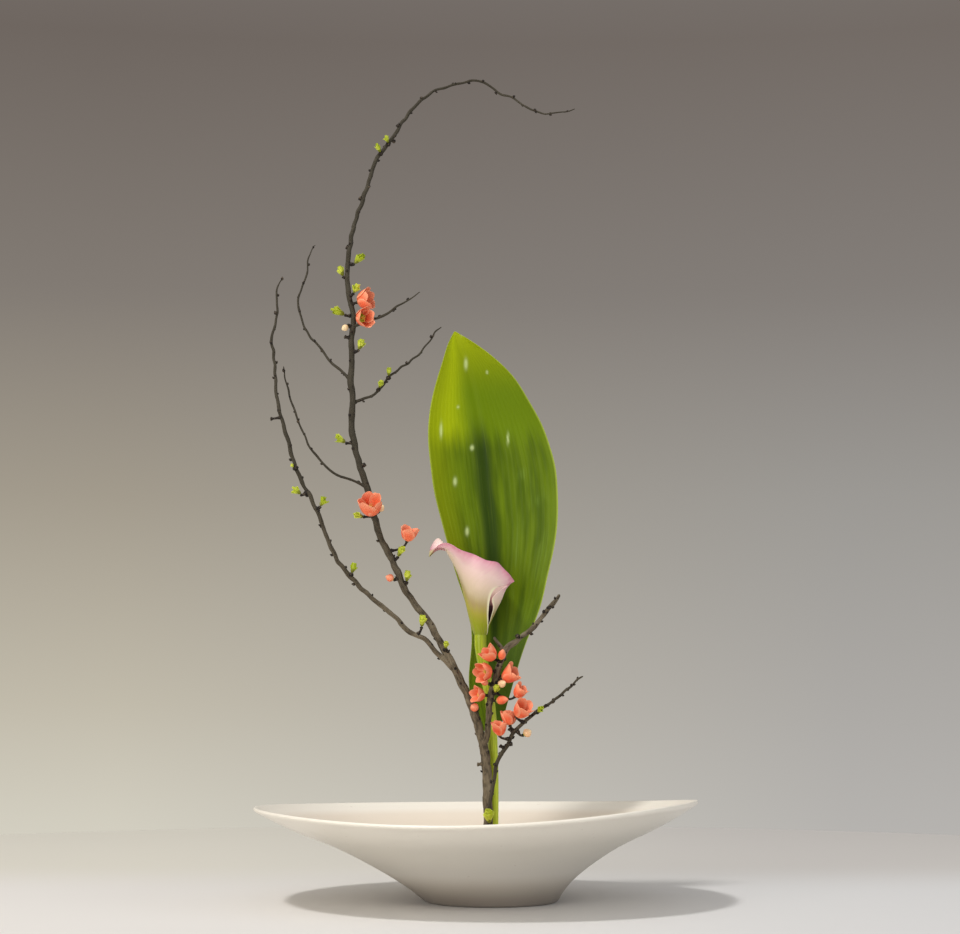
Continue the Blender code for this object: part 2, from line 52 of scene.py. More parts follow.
# Waves of the bowl's lip: periods round it, height, degrees by which it is turned
LIP_WAVES = [(1, 3.2, 26), (2, 4.05, 8), (3, 1.2, 31)]
FLOOR_HEIGHT = 7.5
BOWL_PROFILE = [(0.0, 3.0), (30.0, 3.0), (44.5, 3.0), (46.3, 2.4), (47.2, 0.6), (48.4, 0.0),
                (55.8, 0.0), (57.6, 0.5), (59.2, 1.5), (62.2, 4.4), (66.5, 8.9), (79.6, 20.0),
                (94.0, 29.8), (112.0, 40.4), (129.0, 49.0), (147.0, 56.4), (165.0, 63.8),
                (182.0, 71.8), (192.5, 77.0), (195.6, 78.8), (196.45, 80.2), (195.9, 81.5),
                (194.4, 81.7), (191.5, 80.4), (181.0, 75.5), (163.0, 67.4), (145.5, 60.2),
                (127.0, 53.4), (109.0, 43.6), (91.0, 32.6), (76.5, 22.6), (64.0, 14.0),
                (54.0, 9.2), (44.0, FLOOR_HEIGHT), (22.0, FLOOR_HEIGHT), (0.0, FLOOR_HEIGHT)]

HOLDER_CENTRE = (12.5, 2.5)
HOLDER_RADIUS = 35.0
HOLDER_TOP = 17.5
PLATE_TOP = 18.75
HOLDER_GAP = 0.35  # between the bowl's floor and the holder
PIN_TIP = 32.0
PIN_PITCH = 3.6
PIN_RADIUS = 0.65
PIN_FIELD_RADIUS = 31.0
HEXAGON_ROW = 0.866  # distance between rows of pins, as a share of their pitch
STEM_FOOT = 19.1

# ---------------------------------------------------------------- quince
# Each limb is (x, y, z, radius) along its middle line.

LEADER = [(12, -2, STEM_FOOT, 3.87), (11, -2, 69, 4.14), (10, -2, 97, 4.31), (9, -3, 119, 4.22),
          (6, -4, 140, 4.14), (-2, -6, 166, 3.78), (-13, -9, 193, 3.61), (-20, -11, 206, 3.43),
          (-32, -14, 228, 3.08), (-49, -18, 255, 2.99), (-59, -20, 268, 2.9), (-76, -25, 303, 2.99),
          (-84, -27, 318, 2.9), (-90, -29, 335, 2.9), (-96, -31, 362, 2.99), (-100, -32, 374, 2.9),
          (-109, -34, 407, 2.82), (-111, -34, 425, 2.9), (-110, -34, 443, 2.73), (-112, -33, 461, 2.82),
          (-111, -32, 481, 2.55), (-112, -31, 500, 2.64), (-110, -30, 512, 2.55), (-113, -28, 531, 2.46),
          (-116, -26, 553, 2.2), (-114, -21, 590, 2.11), (-108, -16, 617, 1.94), (-99, -9, 647, 1.85),
          (-91, -4, 672, 1.85), (-82, 0, 686, 1.76), (-68, 7, 710, 1.58), (-53, 13, 731, 1.41),
          (-34, 18, 745, 1.19), (-17, 21, 751, 1.14), (1, 22, 754, 1.1), (18, 19, 744, 1.01),
          (26, 17, 738, 1.01), (37, 14, 734, 0.92), (45, 11, 726, 0.88), (56, 7, 720, 0.84),
          (64, 4, 716, 0.75), (73, 0, 717, 0.7), (82, -4, 716, 0.57), (91, -8, 718, 0.4)]
LEFT_LIMB = [(-16, -10, 198, 2.57), (-24, -13, 208, 2.35), (-34, -16, 218, 2.27), (-47, -21, 231, 2.12),
             (-59, -25, 237, 2.12), (-70, -29, 248, 2.05), (-95, -38, 269, 1.97), (-108, -43, 282, 2.05),
             (-119, -47, 295, 1.89), (-134, -54, 327, 1.81), (-146, -60, 355, 1.81), (-154, -62, 370, 1.81),
             (-166, -66, 407, 1.67), (-170, -66, 420, 1.59), (-175, -65, 445, 1.42), (-177, -63, 466, 1.34),
             (-178, -61, 481, 1.25), (-180, -59, 492, 1.25), (-177, -55, 512, 1.01), (-177, -51, 533, 0.92),
             (-176, -49, 543, 0.66), (-172, -47, 550, 0.42)]
RIGHT_STUB = [(6, -4, 135, 3.34), (9, -6, 144, 3.08), (11, -9, 155, 2.99), (12, -12, 173, 2.82),
              (16, -15, 191, 2.82), (21, -18, 208, 2.73), (26, -20, 220, 2.82), (35, -23, 229, 2.46),
              (46, -26, 236, 2.38), (55, -29, 245, 2.29), (62, -31, 254, 2.02), (68, -33, 261, 1.85),
              (74, -35, 269, 1.32)]
UPPER_LEFT_TWIG = [(-112, -33, 459, 1.76), (-115, -31, 464, 1.32), (-124, -26, 473, 1.14),
                   (-135, -20, 484, 1.14), (-142, -15, 494, 1.06), (-149, -10, 502, 0.97),
                   (-160, -1, 524, 0.97), (-163, 3, 536, 1.06), (-162, 7, 549, 0.88),
                   (-156, 12, 568, 0.88), (-155, 15, 581, 0.7), (-149, 19, 596, 0.4)]
LOWER_LEFT_TWIG = [(-95, -31, 362, 1.67), (-107, -36, 369, 1.14), (-122, -43, 374, 1.14),
                   (-133, -47, 382, 0.97), (-140, -50, 390, 1.06), (-152, -53, 409, 0.88),
                   (-157, -54, 421, 0.88), (-162, -53, 436, 0.88), (-167, -51, 452, 0.79),
                   (-171, -47, 471, 0.44)]
RIGHT_TWIG = [(-111, -34, 441, 1.76), (-100, -29, 444, 1.23), (-86, -20, 455, 1.14), (-81, -17, 463, 1.06),
              (-67, -8, 477, 0.97), (-59, -3, 484, 0.97), (-50, 3, 493, 0.88), (-45, 7, 501, 0.79),
              (-36, 13, 514, 0.7), (-32, 15, 518, 0.44)]
UPPER_RIGHT_TWIG = [(-112, -30, 509, 1.58), (-99, -33, 514, 1.14), (-87, -36, 517, 1.14),
                    (-80, -38, 520, 1.06), (-71, -40, 526, 0.88), (-62, -41, 531, 0.7),
                    (-50, -42, 539, 0.4)]
STUB_SPUR = [(24, -19, 217, 2.11), (21, -22, 225, 1.58), (16, -25, 232, 1.14)]
BRANCH_LIMBS = [LEADER, LEFT_LIMB, RIGHT_STUB, UPPER_LEFT_TWIG, LOWER_LEFT_TWIG, RIGHT_TWIG,
                UPPER_RIGHT_TWIG, STUB_SPUR]
LOW_TWIG = [(12, -11, STEM_FOOT, 1.56), (12, -11, 45, 1.48), (12, -12, 80, 1.56), (13, -13, 93, 1.56),
            (16, -14, 107, 1.72), (18, -16, 120, 1.64), (22, -19, 129, 1.79), (28, -22, 138, 1.79),
            (32, -25, 147, 1.64), (40, -30, 154, 1.56), (53, -37, 167, 1.4), (59, -41, 170, 1.25),
            (66, -44, 175, 1.17), (74, -48, 181, 1.17), (82, -52, 188, 0.94), (88, -55, 194, 0.94),
            (93, -57, 197, 0.62)]
LOW_LIMBS = [LOW_TWIG]
NODE_PITCH = 13.0
BUDLESS_FOOT = 70  # the length without resting buds on a limb that starts in the bowl
BARK_SPURS_BELOW = 125  # spurs under this height have the limb's bark, higher ones dark scales

# Spurs that carry nothing: where each one ends
BARE_SPURS = [(-118, -22, 585), (-107, -13, 633), (-73, 4, 707), (-75, 4, 690), (-118, -34, 500),
              (-98, -34, 385), (-180, -67, 421), (1, -5, 120), (36, -27, 234), (64, -33, 259)]
LOW_BARE_SPURS = [(29, -27, 152), (21, -23, 137), (32, -24, 138)]

# Leaf tufts: base point, direction, length of the leaflets, number of leaflets
BRANCH_TUFTS = [
    ((-88, -5, 677), (-0.5, -0.4, 0.9), 8, 3), ((-81, -3, 687), (-0.4, -0.3, 1.0), 7, 2),
    ((-110, -24, 569), (0.7, -0.2, 0.7), 11, 3), ((-120, -26, 557), (-0.4, -0.2, 0.9), 10, 3),
    ((-110, -33, 540), (0.5, -0.5, 0.8), 9, 2), ((-118, -33, 520), (-0.8, -0.3, 0.4), 12, 4),
    ((-105, -35, 488), (0.4, -0.4, 0.9), 10, 3), ((-116, -36, 404), (-0.8, -0.2, 0.5), 11, 4),
    ((-87, -25, 455), (0.4, -0.5, 0.9), 7, 2), ((-79, -18, 467), (0.1, -0.1, 1.0), 7, 2),
    ((-159, -66, 378), (-0.5, -0.4, 0.8), 4, 2), ((-153, -63, 355), (-0.7, -0.2, 0.7), 9, 3),
    ((-136, -58, 345), (0.4, -0.2, 0.9), 9, 2), ((-109, -46, 287), (0.2, -0.2, 1.0), 9, 3),
    ((-100, -34, 338), (-0.7, -0.5, 0.1), 9, 2), ((-69, -28, 303), (0.4, -0.3, 0.9), 10, 2),
    ((-62, -24, 281), (0.1, -0.3, 1.0), 9, 3), ((-48, -25, 241), (0.1, -0.2, 1.0), 10, 3),
    ((-27, -19, 222), (0.1, -0.6, 0.8), 7, 2), ((17, -21, 183), (0.2, -0.7, 0.75), 8, 4)]
LOW_TUFTS = [((54, -43, 166), (0.5, -0.6, 0.6), 7, 2), ((12, -15, 69), (-0.1, -0.5, 0.85), 13, 4)]

# Blossoms and closed buds: base point, direction, width, height
BRANCH_BLOSSOMS = [
    ((-106, -31, 532), (0.9, -0.3, 0.25), 16, 14), ((-105, -37.5, 516), (0.7, -0.75, -0.05), 15, 14),
    ((-93, -37, 340), (-0.05, -0.7, 0.8), 18, 18), ((-61, -30, 317), (0.25, -0.3, 1.0), 14, 13),
    ((16, -24, 213), (-0.6, -0.4, 0.6), 13, 13), ((13, -21, 202), (-0.8, -0.5, -0.1), 15, 13),
    ((24, -18, 195), (0.7, -0.3, 0.5), 15, 15), ((35, -22, 180), (0.6, -0.3, 0.7), 11, 12),
    ((7, -15, 181), (-0.9, -0.5, 0.1), 12, 11)]
LOW_BLOSSOMS = [((36, -34, 163), (0.6, -0.5, 0.7), 15, 15), ((30, -26, 155), (-0.1, -0.1, 1.0), 12, 12),
                ((21, -27, 146), (-0.1, -0.4, 1.0), 12, 13)]
BRANCH_BUDS = [
    ((-73, -25, 283), (-0.8, -0.3, 0.3), 7, 8), ((-115, -33, 510), (-0.6, -0.3, -0.5), 6, 7),
    ((-86, -33, 343), (0.6, -0.2, 0.8), 6, 7), ((22, -24, 212), (0.2, -0.6, 0.9), 7, 11),
    ((18, -19, 176), (0.8, -0.4, 0.1), 8, 12), ((1, -12, 169), (-0.6, -0.7, 0.3), 8, 8),
    ((11, -18, 191), (-0.9, -0.4, 0.3), 6, 8), ((20, -21, 190), (0.6, -0.6, 0.2), 7, 9)]
LOW_BUDS = [((42, -24, 146), (0.85, -0.15, 0.5), 8, 8)]
PETAL_SPREAD = 64.0  # half the angle that a petal takes up at its widest, in degrees
PALE_BUDS = {"branch_bud_02", "branch_bud_03", "branch_bud_08", "low_twig_bud_01"}

# ---------------------------------------------------------------- calla and aspidistra

CALLA_STEM = [(15.3, 7, STEM_FOOT, 4.3), (15.8, 7, 69, 4.3), (15.8, 7, 106, 4.4), (15.2, 7, 132, 4.4),
              (14, 6, 159, 4.5), (11, 4, 186, 4.6), (6, 2, 211, 5), (4, 1, 226, 5.5),
              (4, 1, 238, 5.5)]
SPATHE_BASE = (4.0, 1.0, 235.0)
SPATHE_NECK = 5.1
SPATHE_FLARE = 21.5  # how much wider the straight cone is at the rim than at the neck
# Back of the funnel, which runs out into a hooked tip: (radius, height) at even steps
SPATHE_TIP = [(5.1, 0.0), (8.0, 8.0), (11.5, 22.0), (15.2, 38.0), (19.6, 53.0), (25.5, 66.0),
              (31.5, 76.5), (36.5, 85.5), (41.0, 84.5), (45.0, 77.5), (46.4, 70.0)]
# Rim of the funnel: angle from +X towards +Y in degrees, radius, height above the base
SPATHE_RIM = [(-362, 27.0, 47.0), (-315, 25.0, 59.0), (-270, 24.5, 66.5), (-225, 31.0, 78.0),
              (-200, 37.0, 86.0), (-180, 41.0, 84.0), (-160, 37.0, 86.0), (-135, 31.0, 78.5),
              (-90, 24.5, 67.5), (-45, 24.5, 61.0), (-20, 27.0, 54.0), (2, 28.5, 47.0)]
# The margins of the funnel: height as a share of the rim's, angle in degrees
NEAR_MARGIN = [(0, -8), (0.1, -30), (0.22, -48), (0.35, -56.5), (0.53, -57.5), (0.62, -52),
               (0.72, -36), (0.85, -12), (1.0, 2)]
FAR_MARGIN = [(0, -20), (0.1, -28), (0.22, -26), (0.35, -33), (0.53, -42), (0.64, -54), (0.8, -40),
              (1.0, -2)]
SPADIX = [(4, 1, 238, 2.6), (4, 1, 245, 3.3), (4, 1, 257, 3.5), (5, 1, 269, 3.2), (5, 1, 277, 2.4),
          (5, 1, 281, 1.2)]

# Aspidistra: the stalk is (z, x, y, radius), the blade (z, x, y of the midrib, width left,
# width right).  The rows of the mesh lie closer from STALK_END on, and again from POINT_START
STALK_END = 133
POINT_START = 495
STALK = [(STEM_FOOT, 13, 16, 2.8), (69, 13, 17, 2.8), (105, 13, 18, 2.8)]
BLADE = [(135, 14, 19, 5, 6), (161, 14, 20, 13, 11), (186, 15, 22.5, 21, 17), (232, 17, 27, 21, 30),
         (259, 17, 30, 25, 41), (287, 16, 32.5, 33, 49), (318, 15, 34.5, 41, 57),
         (344, 13, 36, 46, 62), (369, 10, 37, 49, 65), (391, 8, 37, 50, 65), (410, 6, 36, 50, 62),
         (431, 3, 33.5, 47, 57), (452, -1, 29, 40, 49), (474, -6, 23, 29, 39), (489, -11, 17, 19, 28),
         (501, -16, 12.5, 10, 16.5), (512.8, -19.5, 9.5, 0.6, 0.6)]
# Its pale flecks, which show on both faces: (x, z, half width, half length)
FLECKS = [(-9.4, 484.2, 1.4, 4.0), (-32.4, 424.3, 1.0, 5.5), (-3.8, 408.5, 1.4, 2.0),
          (-19.4, 377, 1.4, 3.2), (-8.3, 330.8, 1.4, 3.2), (-13.1, 511.5, 1.1, 2.2),
          (10.1, 476.7, 0.9, 1.1), (-16.7, 445.8, 0.9, 1.1), (29.4, 416.9, 0.8, 4.5)]

# ================================================================ surfaces


def unit(vectors):
    """Each vector divided by its length."""
    return vectors / np.maximum(np.linalg.norm(vectors, axis=-1, keepdims=True), 1e-9)


def smooth_step(low, high, value):
    """0 at low, 1 at high, 3 s^2 - 2 s^3 between; it falls instead where low is above high."""
    share = np.clip((value - low) / (high - low), 0.0, 1.0)
    return share * share * (3.0 - 2.0 * share)


def turns(count):
    """count angles at even steps round one full turn, starting at 0."""
    return np.linspace(0.0, 2 * math.pi, count, endpoint=False)


def angles_of(points):
    """The angle of each point about +Z."""
    return np.arctan2(points[:, :, 1], points[:, :, 0])


def cubic(knots, values, places):
    """Natural cubic spline: second derivatives from a linear system, then the cubic pieces."""
    knots, values = np.asarray(knots, float), np.asarray(values, float)
    step = np.diff(knots)
    count = len(knots)
    system = np.eye(count)
    right = np.zeros(values.shape)
    inner = np.arange(1, count - 1)
    system[inner, inner - 1] = step[:-1]
    system[inner, inner] = 2 * (step[:-1] + step[1:])
    system[inner, inner + 1] = step[1:]
    slope = (np.diff(values, axis=0).T / step).T
    right[1:-1] = 6 * np.diff(slope, axis=0)
    bend = np.linalg.solve(system, right)
    piece = np.clip(np.searchsorted(knots, places) - 1, 0, count - 2)
    width = step[piece]
    after = (places - knots[piece]) / width
    before = 1 - after
    shape = (-1,) + (1,) * (values.ndim - 1)
    after, before, width = after.reshape(shape), before.reshape(shape), width.reshape(shape)
    return (before * values[piece] + after * values[piece + 1]
            + ((before ** 3 - before) * bend[piece] + (after ** 3 - after) * bend[piece + 1])
            * width ** 2 / 6)


def along_route(route, spacing):
    """Middle line and radius of a limb at even steps: a cubic through its points by length."""
    table = np.array(route, float)
    lengths = np.concatenate([[0.0], np.cumsum(np.linalg.norm(np.diff(table[:, :3], axis=0), axis=1))])
    count = max(int(lengths[-1] / spacing), 6)
    places = np.linspace(0.0, lengths[-1], count + 1)
    return cubic(lengths, table[:, :3], places), np.interp(places, lengths, table[:, 3]), places


def side_axes(path):
    """Two unit vectors square to the path at each of its points, from one fixed reference."""
    ahead = unit(np.gradient(path, axis=0))
    reference = np.eye(3)[np.argmin(np.abs(ahead).max(axis=0))]
    side = unit(reference - ahead * (ahead @ reference)[:, None])
    return side, np.cross(ahead, side)


def sweep(path, radii):
    """Rings around a path: middle + radius * (cos turn * side + sin turn * up).

    radii has a row for each ring, with the radius at each turn.
    """
    side, up = side_axes(path)
    turn = turns(radii.shape[1])
    spoke = np.cos(turn)[None, :, None] * side[:, None] + np.sin(turn)[None, :, None] * up[:, None]
    return path[:, None] + radii[:, :, None] * spoke


def lathe(profile, segments):
    """A profile of (radius, height) turned round +Z; wave and shift are added by the caller."""
    turn = turns(segments)
    profile = np.asarray(profile, float)
    return np.stack([profile[:, :1] * np.cos(turn), profile[:, :1] * np.sin(turn),
                     np.repeat(profile[:, 1:], segments, axis=1)], -1)


class Rings:
    """A closed surface from a grid of rings: points are (rows, columns, 3) in mm.

    Each row is a closed ring.  ends says how the first and last ring are closed: "fan" from
    their middle, "strip" across a folded sheet's thin outline, or "ring" to each other.
    The UV runs round (across, one value for each column and one for the seam) and along.
    """

    def __init__(self, points, ends="fan", across=None, along=None, slot=0):
        rows, columns = points.shape[:2]
        across = np.linspace(0, 1, columns + 1) if across is None else across
        along = np.linspace(0, 1, rows) if along is None else along
        self.points = points.reshape(-1, 3)
        joined = rows if ends == "ring" else rows - 1
        row, column = [grid.ravel() for grid in np.mgrid[0:joined, 0:columns]]
        after, above = (column + 1) % columns, (row + 1) % rows
        self.quads = np.stack([row * columns + column, row * columns + after,
                               above * columns + after, above * columns + column], -1)
        low, high = along[row], along[np.minimum(row + 1, rows - 1)]
        left, right = across[column], across[column + 1]
        self.quad_uv = np.stack([np.stack([left, low], -1), np.stack([right, low], -1),
                                 np.stack([right, high], -1), np.stack([left, high], -1)], 1)
        self.triangles = np.zeros((0, 3), int)
        self.triangle_uv = np.zeros((0, 3, 2))
        self.slot = slot
        if ends == "fan":
            self.close_with_fans(points, across, along)
        elif ends == "strip":
            self.close_with_strips(rows, columns, across, along)
        self.face_outwards()

    def close_with_fans(self, points, across, along):
        """A triangle from each edge of the first and last ring to the ring's middle."""
        rows, columns = points.shape[:2]
        column = np.arange(columns)
        after = (column + 1) % columns
        fans, marks = [], []
        for row, flip in ((0, True), (rows - 1, False)):
            hub = np.full(columns, len(self.points))
            self.points = np.vstack([self.points, points[row].mean(axis=0)])
            fan = np.stack([row * columns + column, row * columns + after, hub], -1)
            mark = np.stack([np.stack([across[:-1], np.full(columns, along[row])], -1),
                             np.stack([across[1:], np.full(columns, along[row])], -1),
                             np.stack([across[:-1], np.full(columns, along[row])], -1)], 1)
            fans.append(fan[:, ::-1] if flip else fan)
            marks.append(mark[:, ::-1] if flip else mark)
        self.triangles, self.triangle_uv = np.vstack(fans), np.vstack(marks)

    def close_with_strips(self, rows, columns, across, along):
        """Quads between the two halves of the first and last ring, column by column."""
        near = np.arange(columns // 2 - 1)
        strip = np.stack([near, near + 1, columns - 2 - near, columns - 1 - near], -1)
        for row, flip in ((0, True), (rows - 1, False)):
            quads = strip + row * columns
            marks = np.stack([across[strip % columns], np.full(strip.shape, along[row])], -1)
            self.quads = np.vstack([self.quads, quads[:, ::-1] if flip else quads])
            self.quad_uv = np.vstack([self.quad_uv, marks[:, ::-1] if flip else marks])

    def face_outwards(self):
        """Turns every face round if the signed volume is negative."""
        halves = np.vstack([self.quads[:, [0, 1, 2]], self.quads[:, [0, 2, 3]], self.triangles])
        corner = self.points[halves] - self.points.mean(axis=0)
        volume = np.einsum("ij,ij->i", corner[:, 0], np.cross(corner[:, 1], corner[:, 2])).sum()
        if volume < 0:
            self.quads, self.quad_uv = self.quads[:, ::-1], self.quad_uv[:, ::-1]
            self.triangles, self.triangle_uv = self.triangles[:, ::-1], self.triangle_uv[:, ::-1]


def folded_sheet(middle, thickness, across=None, along=None, slots=(0, 0)):
    """A thin leaf or petal: its middle surface moved half its thickness to both sides.

    slots are the finishes of the side the normal points to and of the other side.
    """
    rows, columns = middle.shape[:2]
    over_rows, over_columns = np.gradient(middle, axis=0), np.gradient(middle, axis=1)
    normal = unit(np.cross(over_columns, over_rows))
    half = 0.5 * np.broadcast_to(thickness, (rows, columns))[:, :, None]
    points = np.concatenate([middle + normal * half, (middle - normal * half)[:, ::-1]], axis=1)
    one_side = np.linspace(0, 1, columns) if across is None else across
    seam = np.concatenate([one_side, one_side[::-1], one_side[:1]])
    sheet = Rings(points, "strip", seam, along)
    second = (np.arange(len(sheet.quads)) % (2 * columns)) >= columns
    second[(rows - 1) * 2 * columns:] = False
    sheet.slot = np.where(second, slots[1], slots[0])
    return sheet


def build(name, surfaces, finishes, replaced=None, sharp=50.0):
    """One piece from surfaces: all their points and faces go into one mesh at the origin."""
    starts = np.cumsum([0] + [len(surface.points) for surface in surfaces])
    points = np.vstack([surface.points for surface in surfaces]) * MM
    quads = np.vstack([surface.quads + start for surface, start in zip(surfaces, starts)])
    triangles = np.vstack([surface.triangles + start for surface, start in zip(surfaces, starts)])
    corners = np.concatenate([quads.ravel(), triangles.ravel()])
    marks = np.vstack([np.vstack([surface.quad_uv for surface in surfaces]).reshape(-1, 2),
                       np.vstack([surface.triangle_uv for surface in surfaces]).reshape(-1, 2)])
    slots = np.concatenate([np.broadcast_to(surface.slot, len(surface.quads)) for surface in surfaces]
                           + [np.full(len(surface.triangles), np.max(surface.slot))
                              for surface in surfaces])
    mesh = bpy.data.meshes.new(name)
    mesh.vertices.add(len(points))
    mesh.vertices.foreach_set("co", points.ravel())
    mesh.loops.add(len(corners))
    mesh.loops.foreach_set("vertex_index", corners)
    mesh.polygons.add(len(quads) + len(triangles))
    mesh.polygons.foreach_set("loop_start", np.concatenate(
        [np.arange(len(quads)) * 4, 4 * len(quads) + np.arange(len(triangles)) * 3]))
    mesh.polygons.foreach_set("material_index", slots)
    mesh.uv_layers.new(name="UVMap").uv.foreach_set("vector", marks.ravel())
    mesh.update(calc_edges=True)
    mesh.shade_smooth()
    mesh.set_sharp_from_angle(angle=math.radians(sharp))
    for finish in finishes:
        mesh.materials.append(finish)
    piece = bpy.data.objects.new(name, mesh)
    bpy.context.scene.collection.objects.link(piece)
    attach(piece, "root")
    if replaced:
        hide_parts(replaced)
    return piece


def turned_to(surface, base, direction, spin=0.0):
    """Turns a surface made round +Z so that +Z lies along direction, and moves it to base."""
    ahead = unit(np.array(direction, float))
    reference = np.array([0.0, 0.0, 1.0]) if abs(ahead[2]) < 0.9 else np.array([0.0, 1.0, 0.0])
    side = unit(np.cross(reference, ahead))
    up = np.cross(ahead, side)
    cos, sin = math.cos(spin), math.sin(spin)
    turn = np.stack([cos * side + sin * up, cos * up - sin * side, ahead])
    surface.points = surface.points @ turn + np.array(base, float)
    return surface


def nearest_on_limbs(limbs, target):
    """The point of the limbs' middle lines nearest to target, with the limb's radius there."""
    target = np.array(target, float)
    starts = np.vstack([np.array(limb)[:-1] for limb in limbs])
    ends = np.vstack([np.array(limb)[1:] for limb in limbs])
    span = ends[:, :3] - starts[:, :3]
    share = np.clip(((target - starts[:, :3]) * span).sum(1) / (span ** 2).sum(1), 0.0, 1.0)
    feet = starts[:, :3] + share[:, None] * span
    best = np.argmin(np.linalg.norm(feet - target, axis=1))
    return feet[best], starts[best, 3] + share[best] * (ends[best, 3] - starts[best, 3])


def carried_base(limbs, base):
    """Where a tuft or flower starts: outside its limb, even if its base lies close to it."""
    root, radius = nearest_on_limbs(limbs, base)
    outward = np.array(base, float) - root
    return root + unit(outward) * max(np.linalg.norm(outward), radius + 1.6)


def drift(count, step, amount):
    """A smooth random walk: random knots every step samples, joined by a cubic."""
    knots = np.arange(0, count + 2 * step, step)
    return cubic(knots, rng.normal(0.0, amount, len(knots)), np.arange(count, dtype=float))


# ================================================================ bowl and pin holder


def make_bowl(glaze):
    """The bowl's profile as a cubic curve, turned about +Z.

    With s the height as a share of the rim's, the waves of the lip lift each ring by s^3 times
    their sum, and FOOT_SHIFT (1 - s)^2.2 moves it to +X.
    """
    table = np.array(BOWL_PROFILE)
    lengths = np.concatenate([[0.0], np.cumsum(np.linalg.norm(np.diff(table, axis=0), axis=1))])
    places = np.concatenate([np.linspace(lengths[k], lengths[k + 1], 7, endpoint=False)
                             for k in range(1, len(lengths) - 2)] + [lengths[-2:-1]])
    profile = cubic(lengths, table, places)
    points = lathe(profile, 256)
    part = np.clip(points[:, :, 2] / RIM_HEIGHT, 0.0, 1.0)
    turn = angles_of(points)
    wave = sum(lift * np.cos(periods * (turn + math.radians(turned)))
               for periods, lift, turned in LIP_WAVES)
    points[:, :, 0] += FOOT_SHIFT * (1 - part) ** 2.2
    points[:, :, 2] += wave * part ** 3
    along = places / lengths[-1]
    build("bowl", [Rings(points, "fan", along=along)], [glaze], "bowl", 80)


def round_box(radius, low, high, edge, inner=None):
    """Profile of a disc or, with inner, a band whose corners are rounded by edge."""
    quarter = np.linspace(0, math.pi / 2, 5)
    outer = [(radius - edge + edge * math.sin(a), low + edge - edge * math.cos(a)) for a in quarter]
    outer += [(radius - edge + edge * math.cos(a), high - edge + edge * math.sin(a)) for a in quarter]
    if inner is None:
        return [(0.5, low)] + outer + [(0.5, high)]
    back = [(inner + edge - edge * math.sin(a), high - edge + edge * math.cos(a)) for a in quarter]
    return outer + back + [(inner + edge - edge * math.cos(a), low + edge - edge * math.sin(a))
                           for a in quarter]


def make_holder(lead, brass, rubber):
    """Lead disc, rubber band and a brass plate with round, pointed pins in a hexagonal field."""
    centre = np.array([*HOLDER_CENTRE, 0.0])
    bottom = FLOOR_HEIGHT + HOLDER_GAP
    disc = lathe(round_box(HOLDER_RADIUS, bottom, HOLDER_TOP, 0.8), 96) + centre
    build("holder_base", [Rings(disc)], [lead], "holder_base")
    inner = HOLDER_RADIUS + 0.3
    band = lathe(round_box(inner + 2.2, bottom, HOLDER_TOP - 2, 0.7, inner), 96) + centre
    build("holder_rubber_ring", [Rings(band, "ring")], [rubber], "holder_rubber_ring")

    plate = lathe(round_box(PIN_FIELD_RADIUS + 1.5, HOLDER_TOP + 0.2, PLATE_TOP, 0.3), 96) + centre
    reach = int(PIN_FIELD_RADIUS / PIN_PITCH) + 2
    row, column = [grid.ravel() for grid in np.mgrid[-reach:reach + 1, -reach:reach + 1]]
    places = np.stack([(column + 0.5 * (row % 2)) * PIN_PITCH, row * PIN_PITCH * HEXAGON_ROW], -1)
    places = places[np.linalg.norm(places, axis=1) < PIN_FIELD_RADIUS] + np.array(HOLDER_CENTRE)
    for x, y, _, radius in (LEADER[0], LOW_TWIG[0], CALLA_STEM[0], STALK[0]):
        places = places[np.linalg.norm(places - np.array([x, y]), axis=1) > radius + 0.5 * PIN_RADIUS]
    pin = lathe([(PIN_RADIUS, PLATE_TOP - 0.1), (PIN_RADIUS, PIN_TIP - 5.0),
                 (0.55 * PIN_RADIUS, PIN_TIP - 1.8), (0.08, PIN_TIP)], 8)
    pins = [Rings(pin + np.array([x, y, 0.0])) for x, y in places]
    build("holder_pins", [Rings(plate)] + pins, [brass], "holder_pins")


# ================================================================ quince


def limb_surface(route, spacing, around, rough):
    """A limb: its middle line, which wanders a little, swept by an uneven radius.

    The radius swells slowly, has a thicker node about every 13 mm (a bell curve of the length),
    and ridges made of cosines of 2, 3 and 5 turns whose phases drift along the limb.
    """
    path, radius, places = along_route(route, spacing)
    count = len(path)
    turn = turns(around)
    swell = 1 + rough * drift(count, max(int(7 / spacing), 2), 0.6)
    lobes = np.zeros((count, around))
    for waves, share in ((2, 0.55), (3, 0.5), (5, 0.35)):
        phase = drift(count, max(int(18 / spacing), 2), 1.4)
        lobes += share * np.cos(waves * turn[None] + phase[:, None])
    grain = rng.normal(0.0, 0.25, (count, around))
    grain = grain + np.roll(grain, 1, 0) + np.roll(grain, -1, 0)
    nodes = 0.10 * np.exp(-(((places + drift(count, 9, 1.0)) % NODE_PITCH - NODE_PITCH / 2) / 1.3) ** 2)
    swell = swell + nodes * np.minimum(1.6 / radius, 1.0)
    radii = radius[:, None] * (swell[:, None] + rough * (0.8 * lobes + 0.45 * grain))
    wander = np.stack([drift(count, max(int(7 / spacing), 2), 0.30)[1:-1] for _ in range(3)], -1)
    path[1:-1] += wander
    radii[-1] *= 0.35
    return Rings(sweep(path, radii), along=places / 100.0)


